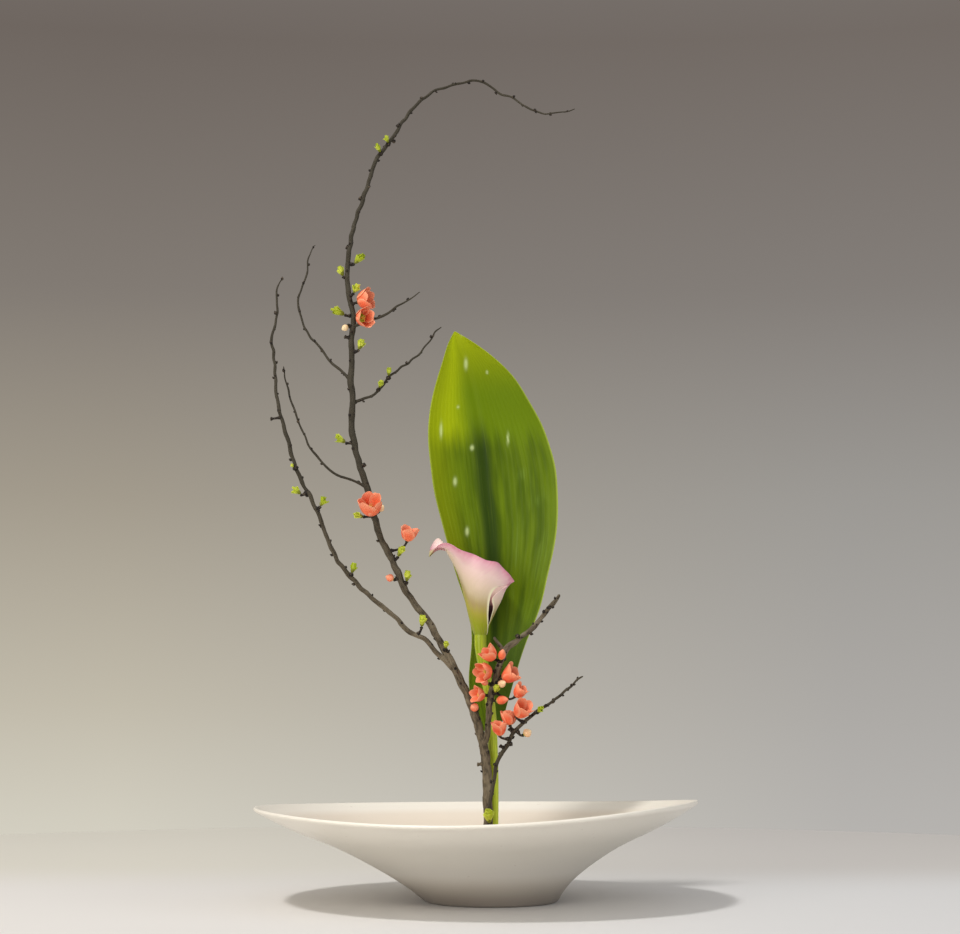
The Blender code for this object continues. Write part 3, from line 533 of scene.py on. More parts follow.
def spur_surface(limbs, tip, direction, knob):
    """A short fruiting spur: a quadratic curve from the limb's middle line to the tip.

    Its radius falls away exponentially from a collar at the bark, has a cosine of ring scars
    and ends in a bell-shaped knob.
    """
    root, limb_radius = nearest_on_limbs(limbs, tip)
    tip, direction = np.array(tip, float), unit(np.array(direction, float))
    reach = np.linalg.norm(tip - root)
    places = np.linspace(0.0, 1.0, max(int(reach / 0.35), 14))
    first, last = (1 - places)[:, None], places[:, None]
    elbow = tip - direction * 0.45 * reach
    path = first ** 2 * root + 2 * first * last * elbow + last ** 2 * tip
    out = places * reach
    radii = 0.95 + 0.9 * np.exp(-np.maximum(out - limb_radius, 0.0) / 1.1)
    radii *= 1 + 0.10 * np.cos(2 * math.pi * out / 1.25)
    radii += knob * np.exp(-((out - reach + 0.9) / 1.1) ** 2)
    radii[-1] *= 0.45
    turn = turns(12)
    lumps = 1 + 0.10 * np.cos(3 * turn[None] + 9 * places[:, None]) + rng.normal(0, 0.03, (len(out), 12))
    return Rings(sweep(path, radii[:, None] * lumps), along=places * reach / 100.0,
                 slot=0 if tip[2] < BARK_SPURS_BELOW else 1)


def scale_bud(limb_route, place, turn, size):
    """A resting bud pressed to the bark: an egg of dark scales that leans along the limb.

    Its radius is the sine of its height's share, drawn towards the base.
    """
    path, radius, _ = along_route(limb_route, 2.0)
    row = min(int(place / 2.0), len(path) - 2)
    ahead = unit(path[row + 1] - path[row])
    side, up = [axes[row] for axes in side_axes(path)]
    outward = math.cos(turn) * side + math.sin(turn) * up
    rise = np.linspace(0.0, 1.0, 8)
    profile = np.stack([size * (0.08 + 0.60 * np.sin(math.pi * rise ** 0.8)), 1.9 * size * rise], -1)
    egg = Rings(lathe(profile, 9), along=np.full(8, 0.3), slot=1)
    base = path[row] + outward * (radius[row] - 0.35 * size)
    return turned_to(egg, base, ahead + 0.9 * outward)


def limb_buds(limbs):
    """Resting buds along each limb, on alternate sides; closer together on the stub and low twig."""
    buds = []
    for limb in limbs:
        _, _, places = along_route(limb, 2.0)
        place, turn = rng.uniform(7, 13), rng.uniform(0, 6)
        crowded = limb is RIGHT_STUB or limb is LOW_TWIG
        while place < places[-1] - 2:
            if limb[0][2] > STEM_FOOT or place > BUDLESS_FOOT:
                buds.append(scale_bud(limb, place, turn, rng.uniform(1.2, 2.2)))
                if crowded or rng.uniform(0, 1) < 0.25:
                    buds.append(scale_bud(limb, place + 1.5, turn + 1.3, rng.uniform(1.0, 1.6)))
            place += rng.uniform(6, 11) if crowded else rng.uniform(11, 20)
            turn += math.pi + rng.uniform(-0.7, 0.7)
    return buds


def make_quince(name, limbs, bare, carried, bark, scales):
    """All limbs and spurs of one cut branch."""
    surfaces = []
    for limb in limbs:
        thick = limb[0][3] > 2.5
        rough = 0.11 if limb is RIGHT_STUB else 0.06
        surfaces.append(limb_surface(limb, 0.9 if thick else 0.8, 24 if thick else 16, rough))
    for tip in bare:
        root, _ = nearest_on_limbs(limbs, tip)
        surfaces.append(spur_surface(limbs, tip, np.array(tip) - root + [0, 0, 2.0], 0.75))
    for entry in carried:
        base = carried_base(limbs, entry[0])
        surfaces.append(spur_surface(limbs, base, entry[1], 0.55))
    build(name, surfaces + limb_buds(limbs), [bark, scales], name, 60)


def leaflet(length, width, azimuth, lean, curl):
    """A young leaf shaped like a spoon: its rib bends outwards and its halves cup.

    Its half width is an ellipse of the length, narrowed towards the base, so its tip is round.
    """
    rows, columns = 15, 11
    share = np.linspace(0, 1, rows)[:, None]
    side = np.linspace(-1, 1, columns)[None]
    ellipse = np.sqrt(np.clip(1 - ((share - 0.58) / 0.585) ** 2, 0.012, 1))
    half = 0.5 * width * ellipse * (0.45 + 0.55 * share)
    bend = math.radians(lean) + math.radians(curl) * share
    out = length * np.cumsum(np.sin(bend) / rows, axis=0)
    rise = length * np.cumsum(np.cos(bend) / rows, axis=0)
    cup = 0.55 * half * side ** 2
    x = out - cup * np.cos(bend)
    z = rise + cup * np.sin(bend) + 0.3
    cos, sin = math.cos(math.radians(azimuth)), math.sin(math.radians(azimuth))
    y = half * side * (1 - 0.12 * side ** 2) + 0 * share
    middle = np.stack([x * cos - y * sin, x * sin + y * cos, z + 0 * side], -1)
    return folded_sheet(middle, 0.70 - 0.34 * side ** 2 + 0 * share)


def make_tufts(prefix, limbs, entries, green):
    """Each tuft: an outer whorl of opening leaves round two upright ones and an egg-shaped heart."""
    for number, (base, direction, length, count) in enumerate(entries, 1):
        leaves = []
        for k in range(max(count, 3)):
            size = length * rng.uniform(0.70, 0.92)
            leaves.append(leaflet(size, 0.92 * size, 20 + 360 * k / max(count, 3) + rng.uniform(-18, 18),
                                  rng.uniform(18, 40), rng.uniform(-22, 10)))
        for k in range(2):
            size = length * rng.uniform(0.90, 1.08)
            leaves.append(leaflet(size, 0.70 * size, 75 + 180 * k, rng.uniform(5, 12),
                                  rng.uniform(-10, 6)))
        rise = np.linspace(0.02, 1, 9)
        heart = np.stack([0.20 * length * np.sin(math.pi * rise ** 0.8) ** 0.8, 0.70 * length * rise], -1)
        leaves.append(Rings(lathe(heart, 9), along=np.full(9, 0.1)))
        start = carried_base(limbs, base)
        turned = [turned_to(leaf, start, direction) for leaf in leaves]
        name = f"{prefix}_{number:02d}"
        build(name, turned, [green], name, 70)


def petal(width, height, azimuth, closing, layer):
    """A petal on an egg-shaped surface: radius sin(t), height 1 - cos(t), t from the base up.

    Its angular half width follows an ellipse, so that its outline is round; the margin has
    slow ruffles and rolls a little outwards.
    """
    rows, columns = 18, 17
    share = np.linspace(0.02, 1, rows)[:, None]
    side = np.linspace(-1, 1, columns)[None]
    half = PETAL_SPREAD * np.sqrt(np.clip(1 - ((share - 0.54) / 0.545) ** 2, 0.01, 1))
    reach = share * (1 - 0.13 * side ** 2 * share)
    t = reach * math.pi * closing
    radius = 0.5 * width * np.sin(t) + 0.05 * width * (1 - share)
    rise = height * (1 - np.cos(t)) / (1 - math.cos(math.pi * closing))
    turn = np.radians(azimuth + half * side)
    radius = radius * (1 - 0.05 * side ** 2 * share) + layer + 0.35 * side
    radius = radius + 0.035 * width * np.sin(3.5 * side + azimuth) * share ** 3 + 0.07 * width * share ** 7
    rise = rise + 0.035 * height * np.cos(4 * side + 2 * azimuth) * share ** 3
    middle = np.stack([radius * np.cos(turn), radius * np.sin(turn), rise + 0 * side], -1)
    return folded_sheet(middle, 0.36 - 0.18 * np.abs(side) * share)


def calyx(width, height):
    """The green cup below the petals: a sine profile turned, with a cosine of five sepals."""
    rise = np.linspace(0, 1, 9)
    outer = np.stack([width * (0.10 + 0.17 * np.sin(1.7 * rise)), height * 0.36 * rise], -1)
    inner = outer[::-1] - np.array([0.35, 0.0])
    points = lathe(np.vstack([outer, inner]), 30)
    turn = angles_of(points)
    points[:, :, 2] *= 0.82 + 0.22 * np.cos(5 * turn)
    return Rings(points - np.array([0, 0, 0.2]))


def stamens(width, height):
    """Twelve straight thin filaments, each turned 2.4 radians from the last, with egg-shaped anthers."""
    parts = []
    for k in range(12):
        turn, lean = 2.4 * k, 0.04 + 0.12 * (k / 12)
        top = np.array([math.cos(turn) * lean * width, math.sin(turn) * lean * width, 0.50 * height])
        path = np.linspace([0.25 * top[0], 0.25 * top[1], 0.18 * height], top, 6)
        parts.append(Rings(sweep(path, np.full((6, 5), 0.13))))
        anther = np.stack([0.34 * np.sin(np.linspace(0.2, 2.9, 6)), np.linspace(-0.4, 0.5, 6)], -1)
        parts.append(Rings(lathe(anther, 6) + top))
    return parts


def make_blossoms(prefix, limbs, entries, coral, green, yellow):
    """Half-open flowers: five overlapping petals, the stamens inside, and the calyx."""
    for number, (base, direction, width, height) in enumerate(entries, 1):
        start = carried_base(limbs, base)
        name = f"{prefix}_{number:02d}"
        closing = rng.uniform(0.47, 0.60)
        spin = rng.uniform(0, 2)
        layers = (0.45, -0.45, 0.15, 0.5, -0.3)
        petals = [petal(1.04 * width, height * rng.uniform(0.86, 1.06), 72 * k + rng.uniform(-9, 9),
                        closing + rng.uniform(-0.05, 0.05), layer) for k, layer in enumerate(layers)]
        build(name, [turned_to(part, start, direction, spin) for part in petals], [coral], name,
              70)
        build(name + "_stamens", [turned_to(part, start, direction) for part in stamens(width, height)],
              [yellow])
        build(name + "_calyx", [turned_to(calyx(width, height), start, direction, spin)], [green])


def make_buds(prefix, limbs, entries, coral, pale, green):
    """Closed buds on a small calyx: a sine profile turned, whose radius steps at three petal laps.

    The laps are a sawtooth of three periods round the bud that winds with the height.
    """
    for number, (base, direction, width, height) in enumerate(entries, 1):
        start = carried_base(limbs, base)
        name = f"{prefix}_{number:02d}"
        rise = np.linspace(0.02, 0.985, 22)
        profile = np.stack([0.5 * width * np.sin(math.pi * rise ** 0.85) ** 0.75, height * rise], -1)
        points = lathe(profile, 30)
        turn = angles_of(points)
        lap = ((3 * turn + 2.2 * rise[:, None] + number) / (2 * math.pi)) % 1.0
        points[:, :, :2] *= (0.94 + 0.08 * lap ** 2)[:, :, None]
        wrapped = turned_to(Rings(points), start, direction)
        build(name, [wrapped], [pale if name in PALE_BUDS else coral], name, 40)
        build(name + "_calyx", [turned_to(calyx(1.15 * width, 0.9 * height), start, direction)],
              [green])


# ================================================================ calla


def tip_profile(rise):
    """Radius and height along the back of the funnel: a cubic through its table by the rise."""
    knots = np.linspace(0, 1, len(SPATHE_TIP))
    return cubic(knots, SPATHE_TIP, rise.ravel()).reshape(rise.shape + (2,))


def spathe_middle(rows, columns):
    """The funnel's middle surface.

    share runs from the near margin (0) round the back to the far margin (1), rise from the
    neck (0) to the rim (1).  A straight cone with a flared lip is blended, round the back,
    into the profile of the hooked tip.  Both margins are cubics of the angle over the rise:
    low down they part into a narrow slit, and higher up the near one laps over the far one.
    """
    rise = np.linspace(0, 1, rows)[:, None] + np.zeros((1, columns))
    share = np.linspace(0, 1, columns)[None] + np.zeros((rows, 1))
    table = np.array(SPATHE_RIM)
    near, far = [cubic(*np.array(margin).T, rise[:, 0])[:, None] for margin in (NEAR_MARGIN, FAR_MARGIN)]
    turn = near + share * (far - 360.0 - near)
    place = np.clip(turn, table[0, 0], table[-1, 0]).ravel()
    rim_radius = cubic(table[:, 0], table[:, 1], place).reshape(turn.shape)
    rim_height = cubic(table[:, 0], table[:, 2], place).reshape(turn.shape)
    straight = SPATHE_NECK + SPATHE_FLARE * rise
    radius = straight + (rim_radius - SPATHE_NECK - SPATHE_FLARE) * rise ** 6
    height = rim_height * rise
    near_tip = np.exp(-(np.abs(turn + 180) / 27.0) ** 2.4)
    tip = tip_profile(rise)
    radius = radius + near_tip * (tip[..., 0] - radius)
    height = height + near_tip * (tip[..., 1] - height)
    ruffle = 0.9 * np.sin(np.radians(turn) * 5 + 1.0) + 0.5 * np.sin(np.radians(turn) * 11)
    radius = radius + smooth_step(0.78, 1.0, rise) * (1 - near_tip) * (1.1 + ruffle)
    height = height + 0.7 * smooth_step(0.8, 1.0, rise) * np.cos(np.radians(turn) * 7) * (1 - near_tip)
    inside = 1.5 * smooth_step(0.78, 0.96, share) * smooth_step(0.0, 0.15, 1 - rise)
    radius = radius - inside + 0.5 * smooth_step(0.06, 0.0, share) * (1 - rise)
    angle = np.radians(turn)
    return np.stack([SPATHE_BASE[0] + radius * np.cos(angle), SPATHE_BASE[1] + radius * np.sin(angle),
                     SPATHE_BASE[2] + height], -1)


def make_calla(stem_green, spathe_skin, spathe_throat, spadix_yellow):
    """Stem with fourteen faint ribs, the rolled spathe, and a spadix inside.

    The spathe thins towards its margins and rim; the spadix's grains are a product of cosines.
    """
    path, radius, places = along_route(CALLA_STEM, 1.5)
    turn = turns(48)
    ribs = 1 + 0.012 * np.cos(14 * turn) + 0.02 * np.cos(2 * turn + 0.6)
    build("calla_stem", [Rings(sweep(path, radius[:, None] * ribs), along=places / places[-1])],
          [stem_green], "calla_stem", 60)

    rows, columns = 110, 150
    middle = spathe_middle(rows, columns)
    rise = np.linspace(0, 1, rows)[:, None]
    edge = np.abs(np.linspace(-1, 1, columns))[None] ** 8
    thickness = (1.25 - 0.55 * rise) * (1 - 0.45 * edge) * (1 - 0.55 * smooth_step(0.85, 1.0, rise))
    sheet = folded_sheet(middle, thickness, slots=(1, 0))
    build("calla_spathe", [sheet], [spathe_skin, spathe_throat], "calla_spathe", 70)

    path, radius, places = along_route(SPADIX, 0.35)
    turn = turns(40)
    grains = np.cos(10 * turn[None] + places[:, None] * 2.2) * np.cos(places[:, None] * 4.4)
    radii = radius[:, None] + 0.16 * grains
    build("calla_spadix", [Rings(sweep(path, radii))], [spadix_yellow], "calla_spadix", 80)


# ================================================================ aspidistra


def make_leaf(leaf_green):
    """Stalk and blade as one sheet: widths and midrib follow cubics of the height.

    Across the blade the margins bend forward, the midrib sits in a groove, and fine pleats
    run lengthwise.  On the stalk the sheet is rolled into a round, grooved rod.  The point
    attribute "fleck" is 1.6 exp(-d^2), at most 1, with d the distance from the nearest pale
    fleck measured in its half width and half length.
    """
    table = np.array(BLADE)
    heights = np.concatenate([np.linspace(STEM_FOOT, STALK_END, 60, endpoint=False),
                              np.linspace(STALK_END, POINT_START, 250, endpoint=False),
                              np.linspace(POINT_START, BLADE[-1][0], 24)])
    stalk = np.array(STALK)
    knots = np.concatenate([stalk[:, 0], table[:, 0]])
    ribs = np.vstack([stalk[:, 1:3], table[:, 1:3]])
    rib = cubic(knots, ribs, heights)
    blade = np.clip(heights, table[0, 0], None)
    left, right = [np.maximum(cubic(table[:, 0], table[:, k], blade), 0.5)[:, None] for k in (3, 4)]
    columns = 81
    side = np.linspace(-1, 1, columns)[None]
    width = np.where(side < 0, left, right)
    across = side * width
    z = heights[:, None]
    bend = 0.10 * width * side ** 2
    groove = 1.0 * np.exp(-(across / 3.2) ** 2) - 0.9 * np.exp(-(across / 9.0) ** 2)
    pleats = 0.16 * np.cos(2 * math.pi * np.abs(side) * 13) * smooth_step(4.0, 14.0, np.abs(across))
    waves = 1.5 * np.sin(z / 21 + 1.2 * side) * side ** 2 * smooth_step(18, 45, width)
    y = rib[:, 1:2] - bend + groove + pleats + waves
    flat = np.stack([rib[:, :1] + across, y, z + 0 * side], -1)

    turn = math.pi / 2 + side * math.radians(172)
    round_radius = 2.25 * (1 - 0.30 * np.exp(-((np.abs(side) - 1) / 0.25) ** 2))
    rod = np.stack([rib[:, :1] - round_radius * np.cos(turn), rib[:, 1:2] + round_radius * np.sin(turn),
                    z + 0 * side], -1)
    opened = smooth_step(123, 163, z)[..., None]
    middle = rod + opened * (flat - rod)
    thick_rib = 1.3 * np.exp(-(across / 2.5) ** 2) * (1 - smooth_step(245, 475, z))
    thickness = 1.1 - 0.75 * np.abs(side) ** 1.5 + thick_rib
    thickness = thickness + (1 - opened[..., 0]) * (0.9 - thickness)
    share = (side[0] + 1) / 2
    sheet = folded_sheet(middle, thickness, share, (heights - STEM_FOOT) / (heights[-1] - STEM_FOOT))
    piece = build("aspidistra_leaf", [sheet], [leaf_green], "aspidistra_leaf", 70)
    amount = np.zeros(len(sheet.points))
    for x, z, half_width, half_length in FLECKS:
        away = ((sheet.points[:, 0] - x) / half_width) ** 2 + ((sheet.points[:, 2] - z) / half_length) ** 2
        amount = np.maximum(amount, np.clip(1.6 * np.exp(-away), 0, 1))
    mark = piece.data.attributes.new("fleck", "FLOAT", "POINT")
    mark.data.foreach_set("value", amount)


# ================================================================ finishes


class Value:
    """A node's output socket; arithmetic on it adds Math nodes to the same material."""

    def __init__(self, finish, socket):
        self.finish, self.socket = finish, socket

    def away_from(self, middle):
        """How far the value is from middle, whatever the side."""
        return (self - middle).math("ABSOLUTE")

    def math(self, operation, *others):
        inputs = dict(enumerate((self,) + others))
        return self.finish.node("ShaderNodeMath", {"operation": operation}, inputs)

    def __add__(self, other):
        return self.math("ADD", other)

    def __radd__(self, other):
        return self.math("ADD", other)

    def __sub__(self, other):
        return self.math("SUBTRACT", other)

    def __rsub__(self, other):
        return self.finish.node("ShaderNodeMath", {"operation": "SUBTRACT"}, {0: other, 1: self})

    def __mul__(self, other):
        return self.math("MULTIPLY", other)

    def __rmul__(self, other):
        return self.math("MULTIPLY", other)


class Finish:
    """A material with one Principled shader, and short ways to the nodes that feed it."""

    def __init__(self, name, roughness=0.5, **constants):
        self.material = bpy.data.materials.new(name)
        self.material.use_nodes = True
        self.nodes = self.material.node_tree.nodes
        self.links = self.material.node_tree.links
        self.shader = self.nodes["Principled BSDF"]
        self.shader.inputs["Roughness"].default_value = roughness
        for socket, value in constants.items():
            self.shader.inputs[socket.replace("_", " ")].default_value = value

    def node(self, kind, settings=None, inputs=None, output=0):
        """Adds a node: its settings first, then the values or links of its sockets."""
        made = self.nodes.new(kind)
        for setting, value in (settings or {}).items():
            if setting == "stops":
                self.set_stops(made.color_ramp, value)
            else:
                setattr(made, setting, value)
        for socket, value in (inputs or {}).items():
            if isinstance(value, Value):
                self.links.new(value.socket, made.inputs[socket])
            else:
                made.inputs[socket].default_value = value
        return Value(self, made.outputs[output])

    @staticmethod
    def set_stops(ramp, stops):
        while len(ramp.elements) < len(stops):
            ramp.elements.new(1.0)
        for element, (place, colour) in zip(ramp.elements, stops):
            element.position = place
            element.color = colour if len(colour) == 4 else (*colour, 1.0)

    def place(self):
        """Object coordinates in metres, with all pieces in the arrangement's frame."""
        return self.node("ShaderNodeTexCoord", output="Object")

    def split(self, vector):
        """The three coordinates of a vector."""
        parts = self.node("ShaderNodeSeparateXYZ", None, {0: vector}).socket.node
        return [Value(self, socket) for socket in parts.outputs]

    def across_and_along(self):
        """The piece's UV: round or across it, and along it."""
        return self.split(self.node("ShaderNodeUVMap", {"uv_map": "UVMap"}))[:2]

    def height(self):
        """Height above the floor in metres."""
        return self.split(self.place())[2]

    def vector(self, x, y):
        return self.node("ShaderNodeCombineXYZ", None, {0: x, 1: y})

    def noise(self, where, scale, detail, roughness=0.5):
        return self.node("ShaderNodeTexNoise", None, {"Vector": where, "Scale": scale, "Detail": detail,
                                                      "Roughness": roughness})

    def streaks(self, across, along, detail, roughness=0.5):
        """Noise over the piece's UV; the scales of across and along stretch it."""
        return self.noise(self.vector(across, along), 2.0, detail, roughness)

    def step(self, value, low, high):
        """0 below low, 1 above high, smooth between."""
        return self.node("ShaderNodeMapRange", {"interpolation_type": "SMOOTHSTEP"},
                         {"Value": value, "From Min": low, "From Max": high})

    def mix(self, share, first, second):
        """first where share is 0, second where it is 1; each is a colour or a link."""
        colours = [(*colour, 1.0) if isinstance(colour, tuple) else colour for colour in (first, second)]
        return self.node("ShaderNodeMix", {"data_type": "RGBA"},
                         {0: share, 6: colours[0], 7: colours[1]}, 2)

    def ramp(self, value, stops):
        """A colour from stops of (value, colour)."""
        return self.node("ShaderNodeValToRGB", {"stops": stops}, {0: value})

    def feed(self, **sockets):
        """Links values to the shader's sockets, such as Base_Color."""
        for socket, value in sockets.items():
            self.links.new(value.socket, self.shader.inputs[socket.replace("_", " ")])

    def bump(self, height, distance, strength=1.0):
        normal = self.node("ShaderNodeBump", None,
                           {"Height": height, "Distance": distance, "Strength": strength})
        self.links.new(normal.socket, self.shader.inputs["Normal"])


def glazed_stoneware():
    """Satin cream glaze, peach inside and where it runs thin at the lip; bare clay foot; painted shade low
    on the outside.
    """
    f = Finish("glazed_stoneware", 0.36)
    _, along = f.across_and_along()
    where = f.place()
    clouds = f.noise(where, 9.0, 4.0)
    grains = f.noise(where, 420.0, 2.0)
    shade = f.ramp(along, [(0.0, (0.30, 0.25, 0.20)), (0.118, (0.30, 0.25, 0.20)),
                           (0.128, (0.44, 0.39, 0.33)), (0.17, (0.66, 0.60, 0.51)),
                           (0.24, (0.74, 0.71, 0.65)), (0.34, (0.80, 0.77, 0.69)),
                           (0.50, (0.82, 0.78, 0.695)), (0.545, (0.88, 0.83, 0.74)),
                           (0.575, (0.80, 0.705, 0.59)), (0.66, (0.79, 0.675, 0.545)),
                           (1.0, (0.77, 0.66, 0.54))])
    # Painted shade: the outside is darkened within 30 mm of the floor, darkest at the bottom, as the
    # contact shade under the bowl.
    low = f.step(f.height(), 0.030, 0.002) * (1.0 - f.step(along, 0.50, 0.55))
    contact_shaded = f.mix(low * 0.92, shade, (0.155, 0.130, 0.110))
    cloudy = f.mix(clouds * 0.22, contact_shaded, (0.77, 0.70, 0.61))
    specks = f.step(f.noise(where, 260.0, 1.0), 0.74, 0.80)
    f.feed(Base_Color=f.mix(specks * 0.25, cloudy, (0.40, 0.31, 0.22)))
    foot = 1.0 - f.step(along, 0.118, 0.130)
    f.feed(Roughness=0.32 + clouds * 0.10 + foot * 0.4)
    rings = (along * 900.0 + clouds * 3.0).math("SINE")
    f.bump(grains * 0.35 + clouds * 0.6 + rings * 0.12, 0.00022, 0.6)
    return f.material


def cast_lead():
    """Dull grey lead alloy with a mottled skin."""
    f = Finish("holder_lead", 0.55, Metallic=0.6)
    where = f.place()
    mottle = f.noise(where, 160.0, 5.0)
    f.feed(Base_Color=f.mix(mottle, (0.10, 0.10, 0.11), (0.26, 0.26, 0.27)),
           Roughness=0.45 + mottle * 0.25)
    f.bump(mottle, 0.0004)
    return f.material


def pin_brass():
    """Bright brass that is browner low on the pins, where they stay wet."""
    f = Finish("holder_brass", 0.3, Metallic=1.0)
    wet = f.step(f.height(), 0.030, 0.018)
    stain = f.noise(f.place(), 220.0, 3.0)
    f.feed(Base_Color=f.mix(wet * 0.7 + stain * 0.2, (0.78, 0.60, 0.27), (0.30, 0.21, 0.10)),
           Roughness=0.22 + stain * 0.25)
    return f.material


def black_rubber():
    """Black rubber with a dusty bloom."""
    f = Finish("holder_rubber", 0.75)
    dust = f.noise(f.place(), 300.0, 4.0)
    f.feed(Base_Color=f.mix(dust, (0.018, 0.018, 0.018), (0.05, 0.048, 0.045)))
    f.bump(dust, 0.0003, 0.5)
    return f.material


def quince_bark(name, darkness):
    """Olive-grey bark: fine lengthwise cracks and pale cross-lying pores, darker on thin twigs."""
    f = Finish(name, 0.8, Specular_IOR_Level=0.3)
    around, along = f.across_and_along()
    where = f.place()
    cracks = f.streaks(around * 5.0, along * 7.0, 6.0, 0.6)
    pores = f.step(f.streaks(around * 5.0, along * 62.0, 2.0), 0.66, 0.74)
    patches = f.noise(where, 55.0, 4.0)
    young = f.step(f.height(), 0.16, 0.40)
    wood = f.mix(f.step(cracks, 0.30, 0.64), (0.040, 0.030, 0.018), (0.165, 0.130, 0.084))
    grey = f.mix(f.step(patches, 0.46, 0.64) * 0.6, wood, (0.255, 0.210, 0.140))
    dark = f.mix(young * (0.88 - darkness) + darkness, grey, (0.030, 0.026, 0.017))
    f.feed(Base_Color=f.mix(pores * 0.5 * (1.0 - darkness), dark, (0.330, 0.275, 0.205)),
           Roughness=0.92 - patches * 0.25)
    f.bump(cracks * 1.0 + pores * 0.35 + f.noise(where, 900.0, 3.0) * 0.3, 0.0006)
    return f.material


def bud_scales():
    """Near-black brown scales with a worn edge here and there."""
    f = Finish("bud_scales", 0.7, Specular_IOR_Level=0.3)
    worn = f.noise(f.place(), 700.0, 3.0)
    f.feed(Base_Color=f.mix(f.step(worn, 0.50, 0.70), (0.012, 0.008, 0.006), (0.110, 0.080, 0.050)))
    f.bump(worn, 0.0004)
    return f.material


def young_green():
    """Soft yellow-green of young leaves: a paler rib, patches of deeper green, and darker towards the base.
    """
    f = Finish("young_leaf", 0.5, Specular_IOR_Level=0.25)
    across, along = f.across_and_along()
    rib = 1.0 - f.step(across.away_from(0.5), 0.02, 0.09)
    veins = (across.away_from(0.5) * 30.0 - along * 26.0).math("SINE")
    patches = f.noise(f.place(), 90.0, 3.0)
    leaf = f.mix(f.step(patches, 0.35, 0.66), (0.34, 0.42, 0.012), (0.62, 0.68, 0.075))
    base = f.mix(f.step(along, 0.05, 0.55), (0.15, 0.16, 0.010), leaf)
    f.feed(Base_Color=f.mix(rib * 0.25, base, (0.70, 0.74, 0.20)))
    f.bump(veins * 0.3 + rib * 0.8, 0.00010)
    return f.material


def petal_finish(name, deep, main, edge):
    """A velvety petal: deeper streaks up its middle, a pale claw, and a paler, thin margin."""
    f = Finish(name, 0.6, Specular_IOR_Level=0.25)
    across, along = f.across_and_along()
    off_middle = across.away_from(0.5)
    veins = f.streaks(across * 9.0, along * 1.2, 2.0)
    clouds = f.noise(f.place(), 75.0, 2.0)
    blush = f.mix(f.step(veins * 0.3 + clouds, 0.55, 0.95) * 0.8, main, deep)
    claw = f.mix(f.step(along, 0.30, 0.02) * 0.8, blush, (0.86, 0.50, 0.20))
    margin = f.step(off_middle, 0.24, 0.50) * 0.55
    tip = f.step(along, 0.60, 1.0) * 0.55
    f.feed(Base_Color=f.mix(tip, f.mix(margin, claw, edge), edge), Roughness=0.5 + veins * 0.15)
    f.bump(clouds, 0.00010)
    return f.material


def stamen_yellow():
    """Pollen yellow, mottled by a fine noise."""
    f = Finish("stamen_yellow", 0.6)
    grains = f.noise(f.place(), 1500.0, 2.0)
    f.feed(Base_Color=f.mix(grains, (0.80, 0.48, 0.05), (0.92, 0.74, 0.22)))
    return f.material


def calla_stem_green():
    """Waxy stem: yellow-green with long pale streaks, olive just below the spathe and paler low down."""
    f = Finish("calla_stem", 0.36, Specular_IOR_Level=0.3)
    around, along = f.across_and_along()
    streaks = f.streaks(around * 20.0, along * 3.0, 4.0)
    fresh = f.mix(f.step(streaks, 0.34, 0.66), (0.27, 0.36, 0.004), (0.52, 0.62, 0.045))
    top = f.mix(f.step(along, 0.84, 1.0) * 0.6, fresh, (0.24, 0.30, 0.006))
    f.feed(Base_Color=f.mix(f.step(along, 0.62, 0.30) * 0.75, top, (0.50, 0.62, 0.030)),
           Roughness=0.28 + streaks * 0.2)
    f.bump(streaks, 0.00025)
    return f.material


def spathe_outside():
    """Pink rim that fades through cream to an olive-green neck, with a rosy hooked tip."""
    f = Finish("calla_spathe", 0.42, Specular_IOR_Level=0.3)
    across, along = f.across_and_along()
    off_tip = across.away_from(0.5)
    streaks = f.streaks(across * 26.0, along * 2.0, 4.0)
    clouds = f.noise(f.place(), 45.0, 3.0)
    rise = along + (streaks - 0.5) * 0.10 + (clouds - 0.5) * 0.08
    body = f.ramp(rise, [(0.0, (0.24, 0.31, 0.005)), (0.12, (0.28, 0.32, 0.007)),
                         (0.26, (0.38, 0.34, 0.042)), (0.38, (0.42, 0.33, 0.125)),
                         (0.50, (0.60, 0.49, 0.32)), (0.64, (0.74, 0.58, 0.46)),
                         (0.80, (0.84, 0.62, 0.58)), (0.92, (0.80, 0.47, 0.53)),
                         (1.0, (0.68, 0.26, 0.36))])
    shaded = f.mix(f.step(clouds + streaks, 0.95, 1.25) * f.step(along, 0.62, 0.35) * 0.5, body,
                   (0.36, 0.27, 0.12))
    knob = f.step(along, 0.76, 0.86) * (1.0 - f.step(off_tip, 0.02, 0.07))
    rosy = f.mix(knob * 0.6, shaded, (0.62, 0.22, 0.32))
    hook = f.step(along, 0.93, 0.98) * (1.0 - f.step(off_tip, 0.02, 0.05))
    hooked = f.mix(hook * 0.9, rosy, (0.42, 0.42, 0.10))
    margins = f.step(off_tip, 0.470, 0.490) * f.step(along, 0.75, 0.60)
    f.feed(Base_Color=f.mix(margins * 0.9, hooked, (0.86, 0.82, 0.58)), Roughness=0.38 + streaks * 0.12)
    f.bump(streaks * 0.8 + clouds * 0.4, 0.0003)
    return f.material


